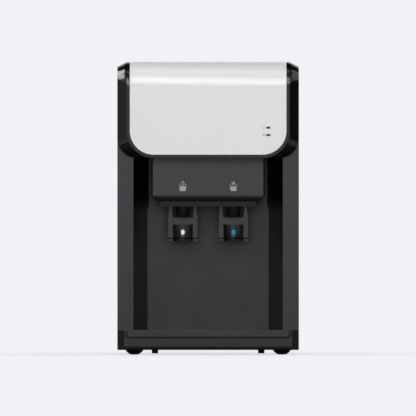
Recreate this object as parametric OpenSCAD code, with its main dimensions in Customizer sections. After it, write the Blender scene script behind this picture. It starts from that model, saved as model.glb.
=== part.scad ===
// Benchtop water cooler: a mains-fed cabinet with a chilled and an ambient push-lever tap.
// Units are millimetres. Z is up, the taps face -Y, and the worktop is Z = 0.

/* [Cabinet] */
// Overall width across the side panels
body_w = 310; // [300:1:340]
// Overall height above the worktop
body_h = 500; // [490:1:540]
// Overall depth, drip tray lip to wall spacers
body_d = 355; // [350:1:390]
// Thickness of the moulded walls
wall = 3; // [2.5:0.1:3.5]
// Gap between fixed parts that sit side by side
seam = 0.3; // [0.2:0.05:0.4]
// Gap round the parts that slide or lift out
slide_gap = 0.5; // [0.4:0.1:0.8]

/* [Base] */
// Height of the base above the worktop
foot_h = 8; // [7:0.5:10]
// Height of the base moulding
base_h = 34; // [32:1:40]
// Distance from the drip tray lip back to the base front
base_setback = 6.5; // [5:0.5:8]
// Size of the 45 degree bevel on the two front corners
base_bevel = 11.5; // [10:0.5:14]
// Rounding under the front edge
base_round = 6; // [4:0.5:8]
// Distance of the front feet from the cabinet side
front_foot_in = 29; // [26:1:34]
// Radius of a front foot where it meets the base
front_foot_r = 15.5; // [13:0.5:18]
// Radius of the flat under a front foot
foot_flat_r = 6; // [4:0.5:8]
// Distance of the rear feet from the cabinet side
rear_foot_in = 63.5; // [55:0.5:70]
// Radius of a rear foot
rear_foot_r = 5.5; // [5:0.5:8]
// Distance of each pair of feet from the ends of the base
foot_end = 40; // [34:1:50]
// Radius of the stud that holds a foot in the base
foot_stud_r = 3; // [2.5:0.5:4]

/* [Drip tray] */
// Height of the shelf that the tray slides on, above the base underside
bay_h = 20.5; // [19:0.5:23]
// Width of the post at each side of the tray
bay_post = 17.5; // [15:0.5:20]
// Depth of the ledge between the tray and the splash back
bay_ledge = 8; // [6:1:12]
// Gap under the tray lip, above the front strip of the base
lip_gap = 1.7; // [1:0.1:2.5]
// Thickness of the tray floor and its walls
tray_wall = 2.5; // [2:0.25:3]
// Thickness of the grille
grille_t = 3; // [2.5:0.25:4]
// Distance of the grille from the sides of the alcove
grille_in = 3; // [2.5:0.5:6]
// Width of the ledge that carries the grille
grille_ledge = 4; // [3:0.5:6]
// Width of a grille slot
slot_w = 4; // [3:0.25:5]
// Distance from one row of slots to the next
slot_pitch = 8.5; // [7.5:0.5:11]
// Number of slots in a row
slot_count = 5; // [3:1:7]

/* [Alcove] */
// Width of each front pillar
pillar_w = 27.4; // [24:0.2:30]
// Distance of the pillar faces behind the head
pillar_setback = 13.5; // [12:0.5:16]
// Depth of the alcove behind the pillar faces
alcove_d = 108; // [104:1:116]
// Visible width of the splash back
splash_w = 207.6; // [204:0.2:214]

/* [Head] */
// Height of the head
head_h = 164; // [156:1:172]
// Distance of the head face behind the drip tray lip
head_setback = 6; // [5:0.5:10]
// Radius of the head where it rolls over to the top
top_r = 43; // [38:1:50]
// Width of the bevel at each side of the head
bevel_w = 15.9; // [13:0.1:18]
// Depth of that bevel
bevel_d = 8; // [6:0.5:10]
// Width of the band on the cabinet side behind the bevel
band_w = 20; // [16:1:24]
// Radius of the two lower corners of the head
head_corner_r = 34; // [30:1:38]
// Depth of the head, front face to the top cover
head_d = 124.5; // [118:0.5:132]
// Width of the rim that shows round the fascia
land_w = 5.3; // [4:0.1:7]
// Radius of the lower corners of the fascia
fascia_corner_r = 41; // [35:1:46]
// Depth of the recess that holds the fascia
fascia_seat = 1.5; // [1:0.1:1.8]
// Height of the fascia above its rim
fascia_proud = 0.5; // [0.2:0.1:1]
// Distance from the fascia end to the top cover
fascia_end = 12; // [8:1:18]
// Width of an indicator lens
lens_w = 6.5; // [5:0.5:9]
// Height of an indicator lens
lens_h = 2.6; // [2:0.2:4]
// Distance of the lenses from the cabinet side
lens_in = 52.2; // [46:0.2:60]
// Height of the lower lens above the underside of the head
lens_z = 39; // [34:1:50]
// Distance from one lens to the next
lens_pitch = 12.5; // [10:0.5:16]

/* [Tap housing] */
// Distance of the housing face behind the head face
house_setback = 23.5; // [22:0.5:26]
// Height of the housing below the head
house_h = 73.5; // [70:0.5:76]
// Rounding under the front of the housing
house_round = 10; // [8:0.5:12]
// Gap between the back of the housing and the alcove sides
house_side_gap = 6.4; // [5:0.2:8]
// How much each side of the housing draws in towards the front
house_taper = 1.2; // [1:0.2:3]
// How far each cheek steps in beside the housing
shoulder_in = 2.9; // [2:0.1:4]
// How far the tap carrier shows below the housing
chin_h = 9.5; // [8:0.5:11]
// Radius of the two lower corners of the housing, between which the carrier sits
house_corner_r = 14; // [12:0.5:16]

/* [Taps] */
// Distance between the two taps
tap_pitch = 86.5; // [80:0.5:92]
// Distance of the nozzles behind the housing face
tap_back = 26; // [25:0.5:28]
// Radius of the nozzle at its top
nozzle_r = 13; // [12:0.25:14]
// Radius of the nozzle at its mouth
nozzle_tip_r = 9.4; // [8.5:0.1:10.5]
// Length of the nozzle
nozzle_l = 19; // [16:0.5:21]
// Radius of the water passage at the nozzle mouth
nozzle_bore_r = 5.5; // [4.5:0.25:6.5]
// Height of the valve body
valve_h = 20; // [18:0.5:22]
// Outer radius of the valve body
valve_r = 10; // [9.5:0.25:11]
// Radius of the valve stem
stem_r = 1.5; // [1.25:0.05:1.75]
// Clearance of the stem in its gland
gland_fit = 0.05; // [0.03:0.01:0.08]
// Height of the lever pivot above the valve seat
pivot_h = 36; // [35:0.5:39]
// Length of the lever finger, pivot to valve stem
finger_l = 22; // [21:0.5:24]
// Radius of the lever pin
pin_r = 2; // [1.75:0.05:2.5]
// Clearance of the lever on its pin
pin_fit = 0.05; // [0.03:0.01:0.08]
// Length of the lever below its pivot
lever_l = 98; // [92:1:106]
// Width of the lever paddle
lever_w = 50; // [47:0.5:54]
// Width of the rail at each side of the paddle
rail_w = 8; // [7:0.25:9]
// Height of the paddle
paddle_h = 40; // [36:1:43]
// Height of the bridge above the finger trough
bridge_h = 12; // [10:0.5:14]
// Radius of the trough that a cup is pushed against
trough_r = 24; // [21:0.5:30]
// Width of the colour mark in the trough
mark_w = 6.4; // [5:0.2:8]
// Height of the colour mark in the trough
mark_h = 8.9; // [8.2:0.1:11]
// Number of curls in a valve spring
spring_turns = 5; // [4:1:6]
// Radius of the spring wire
spring_wire_r = 0.45; // [0.35:0.05:0.5]

/* [Back] */
// Distance of the rear panel from the wall
standoff = 27.5; // [26:0.5:32]
// Radius of the condenser tube
cond_r = 2.4; // [2:0.1:3]
// Number of times the condenser tube crosses the back and returns
cond_returns = 4; // [3:1:5]
// Least distance of the top run of the condenser tube below the water inlet
cond_drop = 35.5; // [32:0.5:40]
// Length of a straight run
cond_run_l = 212; // [196:2:222]
// Height of the lowest run
cond_z = 132; // [128:1:140]
// Distance of the condenser behind the rear panel
cond_gap = 14; // [12:0.5:16]
// Radius of the condenser wires
cond_wire_r = 0.8; // [0.6:0.1:1]
// Distance from one condenser wire to the next
cond_wire_pitch = 10; // [8:1:14]
// Radius of the tube that the water inlet takes
inlet_r = 3.2; // [3:0.05:3.5]
// Radius of the cord hole in the gland
cord_r = 3.6; // [3.2:0.1:4]

/* [Cooling] */
// Radius of the compressor shell, as a share of the depth behind the alcove
comp_share = 0.29; // [0.26:0.01:0.3]
// Gap between the compressor and the drain hose above it
comp_gap = 9; // [6:0.5:16]
// Room for the hoses between the splash back and the foam
hose_room = 20; // [18:1:24]
// Thickness of the tank and of the sheet metal parts
sheet = 1.5; // [1:0.1:2]
// Thickness of the foam round the tank at its thinnest
foam_t = 15; // [12:1:18]
// Height of the tank shelf
shelf_z = 184; // [180:1:190]
// Radius of the evaporator tube
evap_r = 3; // [2.5:0.1:3.2]
// Number of evaporator turns on the tank, besides a half turn that ends on the other side
evap_turns = 7; // [5:1:8]
// Distance of the top evaporator turn below the ambient outlet
evap_below = 11; // [10.5:0.5:14]
// Radius of the water hose bore
hose_bore_r = 4; // [3.5:0.1:4.5]
// Thickness of the hose wall
hose_wall = 1.5; // [1.2:0.1:2]
// Radius of the refrigerant pipes
pipe_r = 3; // [2.5:0.1:3.5]

/* [Hidden] */
$fn = 64;

charcoal = "#333436";
gloss_black = "#1b1b1d";
silver = "#c9cbcd";
steel = "#b4b7ba";
foam_white = "#f1f1ee";
rubber_black = "#161617";
copper = "#b87344";
enamel_black = "#1b1b1d";
natural = "#e4e5e2";
lever_grey = "#2e2f31";

half = body_w / 2;
y_front = -body_d / 2;
y_back = body_d / 2;
y_rear = y_back - standoff;
y_base = y_front + base_setback;
y_head = y_front + head_setback;
y_pillar = y_head + pillar_setback;
y_splash = y_pillar + alcove_d;
y_house = y_head + house_setback;
y_seam = y_head + head_d;

base_top = foot_h + base_h;
base_floor = foot_h + wall;
bay_z = foot_h + bay_h;
bay_half = half - bay_post;
y_bay = y_splash - bay_ledge;
z_head = body_h - head_h;

arc_y = y_head + top_r;
arc_z = body_h - top_r;
band_d = bevel_d + band_w;
fascia_half = half - bevel_w - land_w;
y_fascia_end = y_seam - fascia_end;

alcove_half = half - pillar_w;
splash_half = splash_w / 2;
y_cheek = y_pillar + wall;
cheek_slope = (alcove_half - splash_half) / (y_splash - y_cheek);
cheek_t = wall * sqrt(1 + cheek_slope * cheek_slope);

z_house = z_head - house_h;
house_back_half = splash_half - house_side_gap;
house_half = house_back_half - house_taper;
z_chin = z_house - chin_h;
house_edge = 2;
chin_half = house_half - house_corner_r;
y_chin = y_house + house_round + 1;
y_chin_back = y_splash - 6;
chin_flange = 2;
chin_lap = 3;

tap_x = tap_pitch / 2;
tap_y = y_house + tap_back;
z_seat = z_chin + wall;
z_valve_top = z_seat + valve_h;
pivot_y = tap_y + finger_l;
pivot_z = z_seat + pivot_h;
barb_z = z_seat + valve_h / 2 + 0.5;
y_barb = pivot_y + 16;

hub_r = 5;
nose_r = 3;
nose_drop = 1;
arm_out = lever_w / 2 - 2;
arm_t = 4;
arm_half_d = 4;
ear_gap = 0.6;
ear_t = 3;
stem_head_r = 4;
stem_head_t = 2;
z_stem_top = pivot_z - nose_drop - nose_r - seam;
z_stem_head = z_stem_top - stem_head_t;
seal_t = 2.8;
seal_r = 6;
seat_r = 4;
chamber_r = 7;
collar_r = 8.8;
stem_access_r = 6;
lever_swing = 8;
lever_face = -7;
trough_edge = lever_face + 1;
trough_half = lever_w / 2 - rail_w;
trough_sag = trough_r - sqrt(trough_r * trough_r - trough_half * trough_half);
mark_rise = 15;
mark_proud = 0.4;
mark_depth = 1.2;

hose_r = hose_bore_r + hose_wall;
spigot_r = hose_bore_r - 0.05;
spigot_bore = spigot_r - 1.2;
foam_y0 = y_splash + wall + hose_room;
foam_y1 = y_rear - wall - 2;
foam_bore = (foam_y1 - foam_y0) / 2 - foam_t;
foam_half = foam_bore + foam_t + 11;
foam_floor = 30;
tank_y = (foam_y0 + foam_y1) / 2;
tank_r = foam_bore - 2 * evap_r - 3;
tank_drop = 60;
tank_top = body_h - tank_drop;
tank_z = shelf_z + foam_floor + seam;
tank_h = tank_top - tank_z;
tank_rim = 8;
cold_rise = 12;
cold_z = tank_z + cold_rise;
ambient_z = tank_z + 0.63 * tank_h;
baffle_z = tank_z + 0.42 * tank_h;
hose_bend = 9;
hose_lap = 8;
hose_mid_y = foam_y0 - hose_r - 1;
y_spigot = hose_mid_y + hose_bend + 1;
drain_drop = 16;
drain_hose_z = shelf_z - drain_drop;
drain_spigot_z = drain_hose_z + hose_bend + 1;
evap_rings = 24;
evap_mid_r = (tank_r + seam + evap_r) / cos(180 / evap_rings);
evap_rise = 22;
evap_z = cold_z + evap_rise;
evap_top = ambient_z - evap_below;
evap_pitch = (evap_top - evap_z) / (evap_turns + 0.5);
gasket_t = 2;
lid_z = tank_top + sheet + gasket_t;
inlet_rise = 12;
inlet_z = lid_z + inlet_rise;

y_cond = y_rear + cond_gap;
cond_runs = 2 * cond_returns + 1;
cond_pitch = round((inlet_z - cond_drop - cond_z) / (cond_runs - 1));
cond_top = cond_z + (cond_runs - 1) * cond_pitch;
cond_half = cond_run_l / 2;
cond_lead_x = cond_half + cond_pitch / 2 - 6;
vent_w = 5;
side_vent_back = 110;
side_vent_y = y_rear - side_vent_back;
side_vent_rise = 40;
side_vent_z = base_top + side_vent_rise;
side_vent_l = 70;
side_vent_pitch = 11;
pipe_in = 22;
pipe_x = half - pipe_in;
pipe_back = 16;
pipe_y = y_rear - wall - pipe_back;
chassis_top = base_floor + sheet;
mount_h = 13;
comp_z = chassis_top + mount_h;
comp_forward = 5;
comp_y = tank_y - comp_forward;
comp_r = comp_share * (y_rear - y_splash);
comp_h = drain_hose_z - hose_r - comp_gap - comp_z;
inlet_x = 100;
low_rise = 38;
low_z = base_top + low_rise;
spacer_rise = 22;
y_fitting = y_rear - wall - 6;
inlet_neck_r = 6;
low_neck_r = 7;
drain_x = 90;
gland_x = 118;
switch_x = 78;
switch_w = 19;
switch_h = 28;
switch_wall = 2;
rocker_y = y_rear - 5;
rocker_r = 13;
rocker_pin_r = 1;
rocker_tilt = 10;
float_x = -30;
float_pivot_z = tank_top - 10;
float_pin_r = 1.2;
float_body_r = 8;

// Small helpers

function unit(v) = v / norm(v);
function alcove_half_at(y) = splash_half + (y_splash - y) * cheek_slope;
function bevel_len() = sqrt(bevel_w * bevel_w + bevel_d * bevel_d);
function inner_land_x(t) =
    half - bevel_w - t * bevel_d / bevel_len() + bevel_w * t * (1 - bevel_w / bevel_len()) / bevel_d;
function inner_edge_d(t) =
    t * bevel_w / bevel_len() + (bevel_w - t + t * bevel_d / bevel_len()) / bevel_w * bevel_d;

// A block between two opposite corners
module block(a, b) {
    translate(a) cube(b - a);
}

// A profile drawn in Y and Z, extruded from x0 to x1
module extrude_x(x0, x1) {
    translate([x0, 0, 0]) rotate([90, 0, 90]) linear_extrude(x1 - x0) children();
}

// A profile drawn in X and Z, extruded from y0 to y1
module extrude_y(y0, y1) {
    translate([0, y1, 0]) rotate([90, 0, 0]) linear_extrude(y1 - y0) children();
}

// A rod along X, Y or Z from a point
module rod_x(p, r, l) {
    translate(p) rotate([0, 90, 0]) cylinder(r = r, h = l);
}

module rod_y(p, r, l) {
    translate(p) rotate([-90, 0, 0]) cylinder(r = r, h = l);
}

module rod_z(p, r, l) {
    translate(p) cylinder(r = r, h = l);
}

// One copy on each side of the middle plane
module both_sides() {
    for (side = [0, 1]) mirror([side, 0, 0]) children();
}

// A straight rod along any of the axes, then a quarter bend at each corner of a square route
module route(points, r, bend) {
    last = len(points) - 1;
    for (i = [0 : last - 1]) {
        dir = unit(points[i + 1] - points[i]);
        start = points[i] + dir * (i == 0 ? 0 : bend);
        stop = points[i + 1] - dir * (i == last - 1 ? 0 : bend);
        helper = abs(dir.z) > 0.5 ? [1, 0, 0] : [0, 0, 1];
        u = cross(helper, dir);
        v = cross(dir, u);
        multmatrix([[u.x, v.x, dir.x, start.x], [u.y, v.y, dir.y, start.y], [u.z, v.z, dir.z, start.z]])
            cylinder(r = r, h = norm(stop - start));
    }
    if (last > 1) for (i = [1 : last - 1]) {
        a = unit(points[i] - points[i - 1]);
        b = unit(points[i + 1] - points[i]);
        n = cross(a, b);
        c = points[i] + (b - a) * bend;
        multmatrix([[-b.x, a.x, n.x, c.x], [-b.y, a.y, n.y, c.y], [-b.z, a.z, n.z, c.z]])
            rotate_extrude(angle = 90) translate([bend, 0]) circle(r);
    }
}

// A hose with its bore open at both ends
module hose(points, bend) {
    difference() {
        route(points, hose_r, bend);
        route(points, hose_bore_r, bend);
    }
}

// Points and tangents of a helix about Z, and the tube that follows it
function helix_point(r, pitch, turns) = [r * cos(360 * turns), r * sin(360 * turns), pitch * turns];
function helix_gap(r, pitch, wire_r, rings) =
    min([for (i = [0 : rings - 1])
        norm(helix_point(r, pitch, i / rings + 1) - helix_point(r, pitch, i / rings))]) - 2 * wire_r;

module helix_tube(r, pitch, turns, wire_r, rings) {
    sides = 6;
    count = turns * rings;
    points = [
        for (i = [0 : count]) let (
            a = 360 * i / rings,
            out = [cos(a), sin(a), 0],
            along = unit([-r * sin(a), r * cos(a), pitch / (2 * PI)]),
            up = cross(out, along)
        )
        for (k = [0 : sides - 1]) let (b = 360 * k / sides)
            helix_point(r, pitch, i / rings) + wire_r * (cos(b) * out + sin(b) * up)
    ];
    walls = [
        for (i = [0 : count - 1], k = [0 : sides - 1]) let (
            p = i * sides + k,
            q = i * sides + (k + 1) % sides
        )
        each [[p, q, p + sides], [q, q + sides, p + sides]]
    ];
    first = [for (k = [1 : sides - 2]) [0, k + 1, k]];
    end = count * sides;
    last = [for (k = [1 : sides - 2]) [end, end + k, end + k + 1]];
    polyhedron(points = points, faces = concat(walls, first, last));
}

// The head and top cover: one section, with X across and depth from the outer face, carried along a path

module head_outer() {
    polygon([
        [-half, bevel_d], [-half + bevel_w, 0], [half - bevel_w, 0], [half, bevel_d],
        [half, band_d], [-half, band_d]
    ]);
}

module head_inner() {
    x = inner_land_x(wall);
    d = inner_edge_d(wall);
    polygon([
        [-half + wall, d], [-x, wall], [x, wall], [half - wall, d],
        [half - wall, band_d + 1], [-half + wall, band_d + 1]
    ]);
}

module fascia_section(gap) {
    w = fascia_half + gap;
    translate([-w, -fascia_proud]) square([2 * w, fascia_seat + fascia_proud]);
}

module along_top(y0, y1) {
    translate([0, y0, body_h]) rotate([-90, 0, 0]) linear_extrude(y1 - y0) children();
}

// Up the front from z0, over the top radius, and back to y1
module over_head(z0, y1) {
    translate([0, y_head, z0]) linear_extrude(arc_z - z0) children();
    multmatrix([[0, 0, -1, 0], [-1, 0, 0, arc_y], [0, 1, 0, arc_z]])
        rotate_extrude(angle = 90) translate([top_r, 0]) rotate(90) children();
    along_top(arc_y, y1) children();
}

// Front outline with two rounded lower corners
module rounded_front(w, z0, r) {
    translate([-w, z0 + r]) square([2 * w, body_h - z0]);
    translate([-w + r, z0]) square([2 * (w - r), r + 1]);
    for (side = [-1, 1]) translate([side * (w - r), z0 + r]) circle(r);
}

module fascia_body(gap) {
    intersection() {
        over_head(z_head, y_fascia_end + gap) fascia_section(gap);
        extrude_y(y_head - 5, y_seam)
            rounded_front(fascia_half + gap, z_head + land_w - gap, fascia_corner_r + gap);
    }
}

module lens_cut(index, gap) {
    x = half - lens_in;
    z = z_head + lens_z + index * lens_pitch;
    block(
        [x - lens_w / 2 - gap, y_head - fascia_proud - 1, z - lens_h / 2 - gap],
        [x + lens_w / 2 + gap, y_head + wall + 1, z + lens_h / 2 + gap]
    );
}

// Room inside the bevel, or inside its wall: the bevel runs on round the lower corners of the rim
module bevel_room(inset) {
    over = 0.2;
    thin = 0.01;
    rim_w = inner_land_x(inset);
    rim_r = rim_w - fascia_half + fascia_corner_r;
    y0 = y_head + inset;
    y1 = y_head + inner_edge_d(inset);
    hull() {
        extrude_y(y0 - thin, y0)
            rounded_front(rim_w + over, z_head + land_w + fascia_corner_r - rim_r - over, rim_r + over);
        extrude_y(y1, y1 + thin)
            rounded_front(half - inset + over, z_head + inset - over, head_corner_r - inset + over);
    }
    block([-half - 1, y1, z_head - 1], [half + 1, y_seam + 2, body_h + 1]);
}

module head_bezel() {
    deck_half = alcove_half - seam;
    color(charcoal)
    difference() {
        union() {
            difference() {
                intersection() {
                    over_head(z_head, y_seam) head_outer();
                    extrude_y(y_head - 1, y_seam) rounded_front(half, z_head, head_corner_r);
                    bevel_room(0);
                }
                intersection() {
                    over_head(z_head - 1, y_seam + 1) head_inner();
                    extrude_y(y_head, y_seam + 1)
                        rounded_front(half - wall, z_head + wall, head_corner_r - wall);
                    bevel_room(wall);
                }
                both_sides() block(
                    [deck_half, y_pillar - seam, z_head - 1],
                    [half + 1, y_head + band_d + 1, z_head + head_corner_r]
                );
            }
            block([-deck_half, y_head + band_d - 1, z_head], [deck_half, y_splash, z_head + wall]);
        }
        fascia_body(seam);
        for (i = [0, 1]) lens_cut(i, seam / 3);
        both_sides() rod_z([tap_x, tap_y, z_head - 1], stem_access_r, wall + 2);
    }
}

module fascia_panel() {
    color(silver)
    difference() {
        fascia_body(0);
        for (i = [0, 1]) lens_cut(i, seam / 3);
    }
}

module top_cover() {
    color(charcoal)
    difference() {
        along_top(y_seam + seam, y_rear) head_outer();
        along_top(y_seam - 1, y_rear - wall) head_inner();
    }
}

// Indicator lenses on the fascia, and the board that lights them

board_y = y_head + wall + 5;

module lens(index) {
    x = half - lens_in;
    z = z_head + lens_z + index * lens_pitch;
    block(
        [x - lens_w / 2, y_head - fascia_proud - 0.3, z - lens_h / 2],
        [x + lens_w / 2, board_y, z + lens_h / 2]
    );
}

module power_lens() {
    color("#7a1512") lens(1);
}

module cooling_lens() {
    color("#1c5a2c") lens(0);
}

module indicator_board() {
    x = half - lens_in;
    margin = 12;
    board_half = 10;
    board_t = 1.6;
    post_r = 3;
    part_r = 2;
    part_l = 5;
    z0 = z_head + lens_z - margin;
    z1 = z_head + lens_z + lens_pitch + margin;
    color("#2f5f3a") {
        block([x - board_half, board_y, z0], [x + board_half, board_y + board_t, z1]);
        for (z = [z0 + post_r + 1, z1 - post_r - 1])
            rod_y([x, y_head + wall, z], post_r, board_y - y_head - wall + board_t / 2);
        for (i = [0, 1])
            rod_y([x + board_half / 2, board_y + 1, z_head + lens_z + i * lens_pitch], part_r, part_l);
    }
}

// Cabinet sides, alcove and rear panel

module side_panel() {
    z_step = z_head + head_corner_r - seam;
    y_step = y_head + band_d + seam;
    edge_r = top_r - band_d - seam;
    difference() {
        union() {
            extrude_x(half - wall, half) union() {
                polygon([
                    [y_pillar, base_top], [y_pillar, z_step], [y_step, z_step], [y_step, arc_z],
                    [arc_y, arc_z], [arc_y, arc_z + edge_r], [y_rear, arc_z + edge_r], [y_rear, base_top]
                ]);
                intersection() {
                    translate([arc_y, arc_z]) circle(edge_r);
                    translate([arc_y - edge_r, arc_z]) square([edge_r, edge_r]);
                }
            }
            block([alcove_half, y_pillar, base_top], [half - wall / 2, y_cheek, z_step]);
        }
        for (i = [0 : 7]) extrude_x(half - wall - 1, half + 1)
            translate([side_vent_y, side_vent_z + i * side_vent_pitch]) slot_2d(side_vent_l, vent_w);
    }
}

// A slot with round ends, along X from the origin
module slot_2d(l, w) {
    translate([w / 2, -w / 2]) square([l - w, w]);
    for (x = [w / 2, l - w / 2]) translate([x, 0]) circle(w / 2);
}

module side_panel_left() {
    color(charcoal) mirror([1, 0, 0]) side_panel();
}

module side_panel_right() {
    color(charcoal) side_panel();
}

module cheek() {
    z0 = base_top + seam;
    z1 = z_head - seam;
    translate([0, 0, z0]) linear_extrude(z1 - z0) polygon([
        [alcove_half, y_cheek], [splash_half, y_splash],
        [splash_half + cheek_t, y_splash], [alcove_half + cheek_t, y_cheek]
    ]);
    intersection() {
        shoulder_y = (y_cheek + y_splash) / 2;
        shoulder_x = (alcove_half + splash_half) / 2;
        translate([0, 0, z0]) linear_extrude(z1 - z0) polygon([
            [shoulder_x, shoulder_y], [splash_half - shoulder_in, y_splash],
            [splash_half + cheek_t / 2, y_splash], [shoulder_x + cheek_t / 2, shoulder_y]
        ]);
        extrude_y(y_cheek, y_splash + 1) polygon([
            [alcove_half + cheek_t, z_chin - shoulder_in], [alcove_half + cheek_t, z1 + 1],
            [splash_half - 2 * shoulder_in, z1 + 1], [splash_half - 2 * shoulder_in, z_chin + 3 * shoulder_in],
            [splash_half, z_chin - shoulder_in]
        ]);
    }
}

module cheek_left() {
    color(gloss_black) mirror([1, 0, 0]) cheek();
}

module cheek_right() {
    color(gloss_black) cheek();
}

module splash_back() {
    edge = splash_half + cheek_t + 2;
    color(charcoal)
    difference() {
        block([-edge, y_splash, base_top], [edge, y_splash + wall, z_head + wall]);
        hose_passages(y_splash - 1);
    }
}

module rear_panel() {
    z1 = arc_z + top_r - band_d - seam;
    edge = half - wall - seam;
    vent_l = 36;
    vent_pitch = 10;
    vent_step = vent_l + 12;
    color(charcoal)
    difference() {
        block([-edge, y_rear - wall, base_top + seam], [edge, y_rear, z1]);
        for (row = [0 : 5], i = [-2 : 2])
            extrude_y(y_rear - wall - 1, y_rear + 1)
                translate([i * vent_step - vent_l / 2, cond_z + 12 + row * vent_pitch])
                slot_2d(vent_l, vent_w);
        rod_y([-inlet_x, y_rear - wall - 1, inlet_z], inlet_neck_r + seam, wall + 2);
        rod_y([-drain_x, y_rear - wall - 1, low_z], low_neck_r + seam, wall + 2);
        rod_y([gland_x, y_rear - wall - 1, low_z], low_neck_r + seam, wall + 2);
        block(
            [switch_x - switch_w / 2 - seam, y_rear - wall - 1, low_z - switch_h / 2 - seam],
            [switch_x + switch_w / 2 + seam, y_rear + 1, low_z + switch_h / 2 + seam]
        );
        rod_y([pipe_x, y_rear - wall - 1, cond_top], pipe_r + 1.5, wall + 2);
        rod_y([-pipe_x, y_rear - wall - 1, cond_z], pipe_r + 1.5, wall + 2);
    }
}

// Base, feet, drip tray and grille

module base_moulding() {
    color(charcoal)
    difference() {
        intersection() {
            translate([0, 0, foot_h]) linear_extrude(base_h) polygon([
                [-half + base_bevel, y_base], [half - base_bevel, y_base], [half, y_base + base_bevel],
                [half, y_rear], [-half, y_rear], [-half, y_base + base_bevel]
            ]);
            extrude_x(-half, half) {
                translate([y_base, foot_h + base_round]) square([y_rear - y_base, base_h]);
                translate([y_base + base_round, foot_h]) square([y_rear - y_base - base_round, base_h]);
                translate([y_base + base_round, foot_h + base_round]) circle(base_round);
            }
        }
        block([-half + wall, y_splash + wall, base_floor], [half - wall, y_rear - wall, base_top + 1]);
        block(
            [-bay_half + wall, y_base + wall + base_round, base_floor],
            [bay_half - wall, y_splash + wall + 1, bay_z - wall]
        );
        block([-bay_half, y_front, bay_z], [bay_half, y_bay, base_top + 1]);
        foot_places() cylinder(r = foot_stud_r + seam / 3, h = base_floor + 1);
    }
}

module front_foot_places() {
    both_sides() translate([half - front_foot_in, y_base + foot_end, 0]) children();
}

module rear_foot_places() {
    both_sides() translate([half - rear_foot_in, y_rear - foot_end, 0]) children();
}

module foot_places() {
    front_foot_places() children();
    rear_foot_places() children();
}

module front_feet() {
    // The dome passes through the rim at the base and the edge of the flat
    centre = (front_foot_r * front_foot_r + foot_h * foot_h - foot_flat_r * foot_flat_r) / (2 * foot_h);
    dome_r = sqrt(foot_flat_r * foot_flat_r + centre * centre);
    color(rubber_black) front_foot_places() {
        intersection() {
            translate([0, 0, centre]) sphere(dome_r);
            cylinder(r = dome_r, h = foot_h);
        }
        rod_z([0, 0, foot_h / 2], foot_stud_r, foot_h / 2 + wall);
    }
}

module rear_feet() {
    color(rubber_black) rear_foot_places() {
        cylinder(r = rear_foot_r, h = foot_h);
        rod_z([0, 0, foot_h / 2], foot_stud_r, foot_h / 2 + wall);
    }
}

y_grille = y_base + 7;
y_grille_back = y_bay - slide_gap - grille_ledge - tray_wall;
grille_half = alcove_half - grille_in;
grille_back_half = alcove_half_at(y_grille_back) - grille_in;
tray_top = base_top - seam;
z_grille = tray_top - grille_t;

// Plan of the grille, grown by a margin
module grille_plan(m) {
    polygon([
        [-grille_half - m, y_grille - m], [grille_half + m, y_grille - m],
        [grille_back_half + m, y_grille_back + m], [-grille_back_half - m, y_grille_back + m]
    ]);
}

module drip_tray() {
    z0 = bay_z + seam;
    edge = bay_half - slide_gap;
    lip_half = half - base_bevel;
    color(charcoal)
    difference() {
        union() {
            block([-edge, y_base - seam, z0], [edge, y_bay - slide_gap, tray_top]);
            block([-edge, y_base - base_setback / 2, bay_z + lip_gap], [edge, y_base, tray_top]);
            translate([0, 0, bay_z + lip_gap]) linear_extrude(base_top - bay_z - lip_gap) polygon([
                [-lip_half + base_setback, y_front], [lip_half - base_setback, y_front],
                [lip_half - seam, y_base - seam], [-lip_half + seam, y_base - seam]
            ]);
        }
        translate([0, 0, z0 + tray_wall]) linear_extrude(base_h) grille_plan(-grille_ledge);
        translate([0, 0, z_grille]) linear_extrude(base_h) grille_plan(slide_gap);
    }
}

module drip_grille() {
    border = 7;
    bridge = 5;
    rows = floor((y_grille_back - y_grille - 2 * border) / slot_pitch);
    first = (y_grille + y_grille_back - (rows - 1) * slot_pitch) / 2;
    color("#2a2b2d") translate([0, 0, z_grille + 0.1]) linear_extrude(grille_t - 0.1) difference() {
        grille_plan(0);
        for (row = [0 : rows - 1]) {
            y = first + row * slot_pitch;
            share = (y - y_grille) / (y_grille_back - y_grille);
            run = 2 * (grille_half + (grille_back_half - grille_half) * share - border);
            l = (run - (slot_count - 1) * bridge) / slot_count;
            for (i = [0 : slot_count - 1]) translate([-run / 2 + i * (l + bridge), y]) slot_2d(l, slot_w);
        }
    }
}

// Tap housing and the carrier under it

// Side outline of the housing, or of its hollow, which runs on through the open top and back
module house_profile(inset) {
    over = inset > 0 ? 1 : 0;
    translate([y_house + inset, z_house + house_round])
        square([y_splash - y_house - inset + over, house_h - house_round + over]);
    translate([y_house + house_round, z_house + inset])
        square([y_splash - y_house - house_round + over, house_h / 2]);
    translate([y_house + house_round, z_house + house_round]) circle(house_round - inset);
}

module house_plan(inset) {
    f = house_half - inset;
    b = house_back_half - inset;
    polygon([
        [-b, y_splash + 1], [-f, y_house + house_edge], [-f + house_edge, y_house],
        [f - house_edge, y_house], [f, y_house + house_edge], [b, y_splash + 1]
    ]);
}

// What the rounded lower corners leave out of the housing, or of its hollow
module house_corners(inset) {
    r = house_corner_r - inset;
    dip = 0.3;
    side_l = y_splash + 1 - y_house - house_edge;
    both_sides() translate([house_half - inset, y_house + house_edge, z_house + inset])
        rotate([0, 0, -atan(house_taper / side_l)]) difference() {
            block([dip - r, -r, -1], [r, side_l + r, r - dip]);
            rod_y([dip - r, -r - 1, r - dip], r, side_l + 2 * r + 2);
        }
}

// Room for the two hoses behind the taps
module hose_passages(y0) {
    both_sides() rod_y([tap_x, y0, barb_z], hose_r + 1, y_splash + wall + 1 - y0);
}

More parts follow.
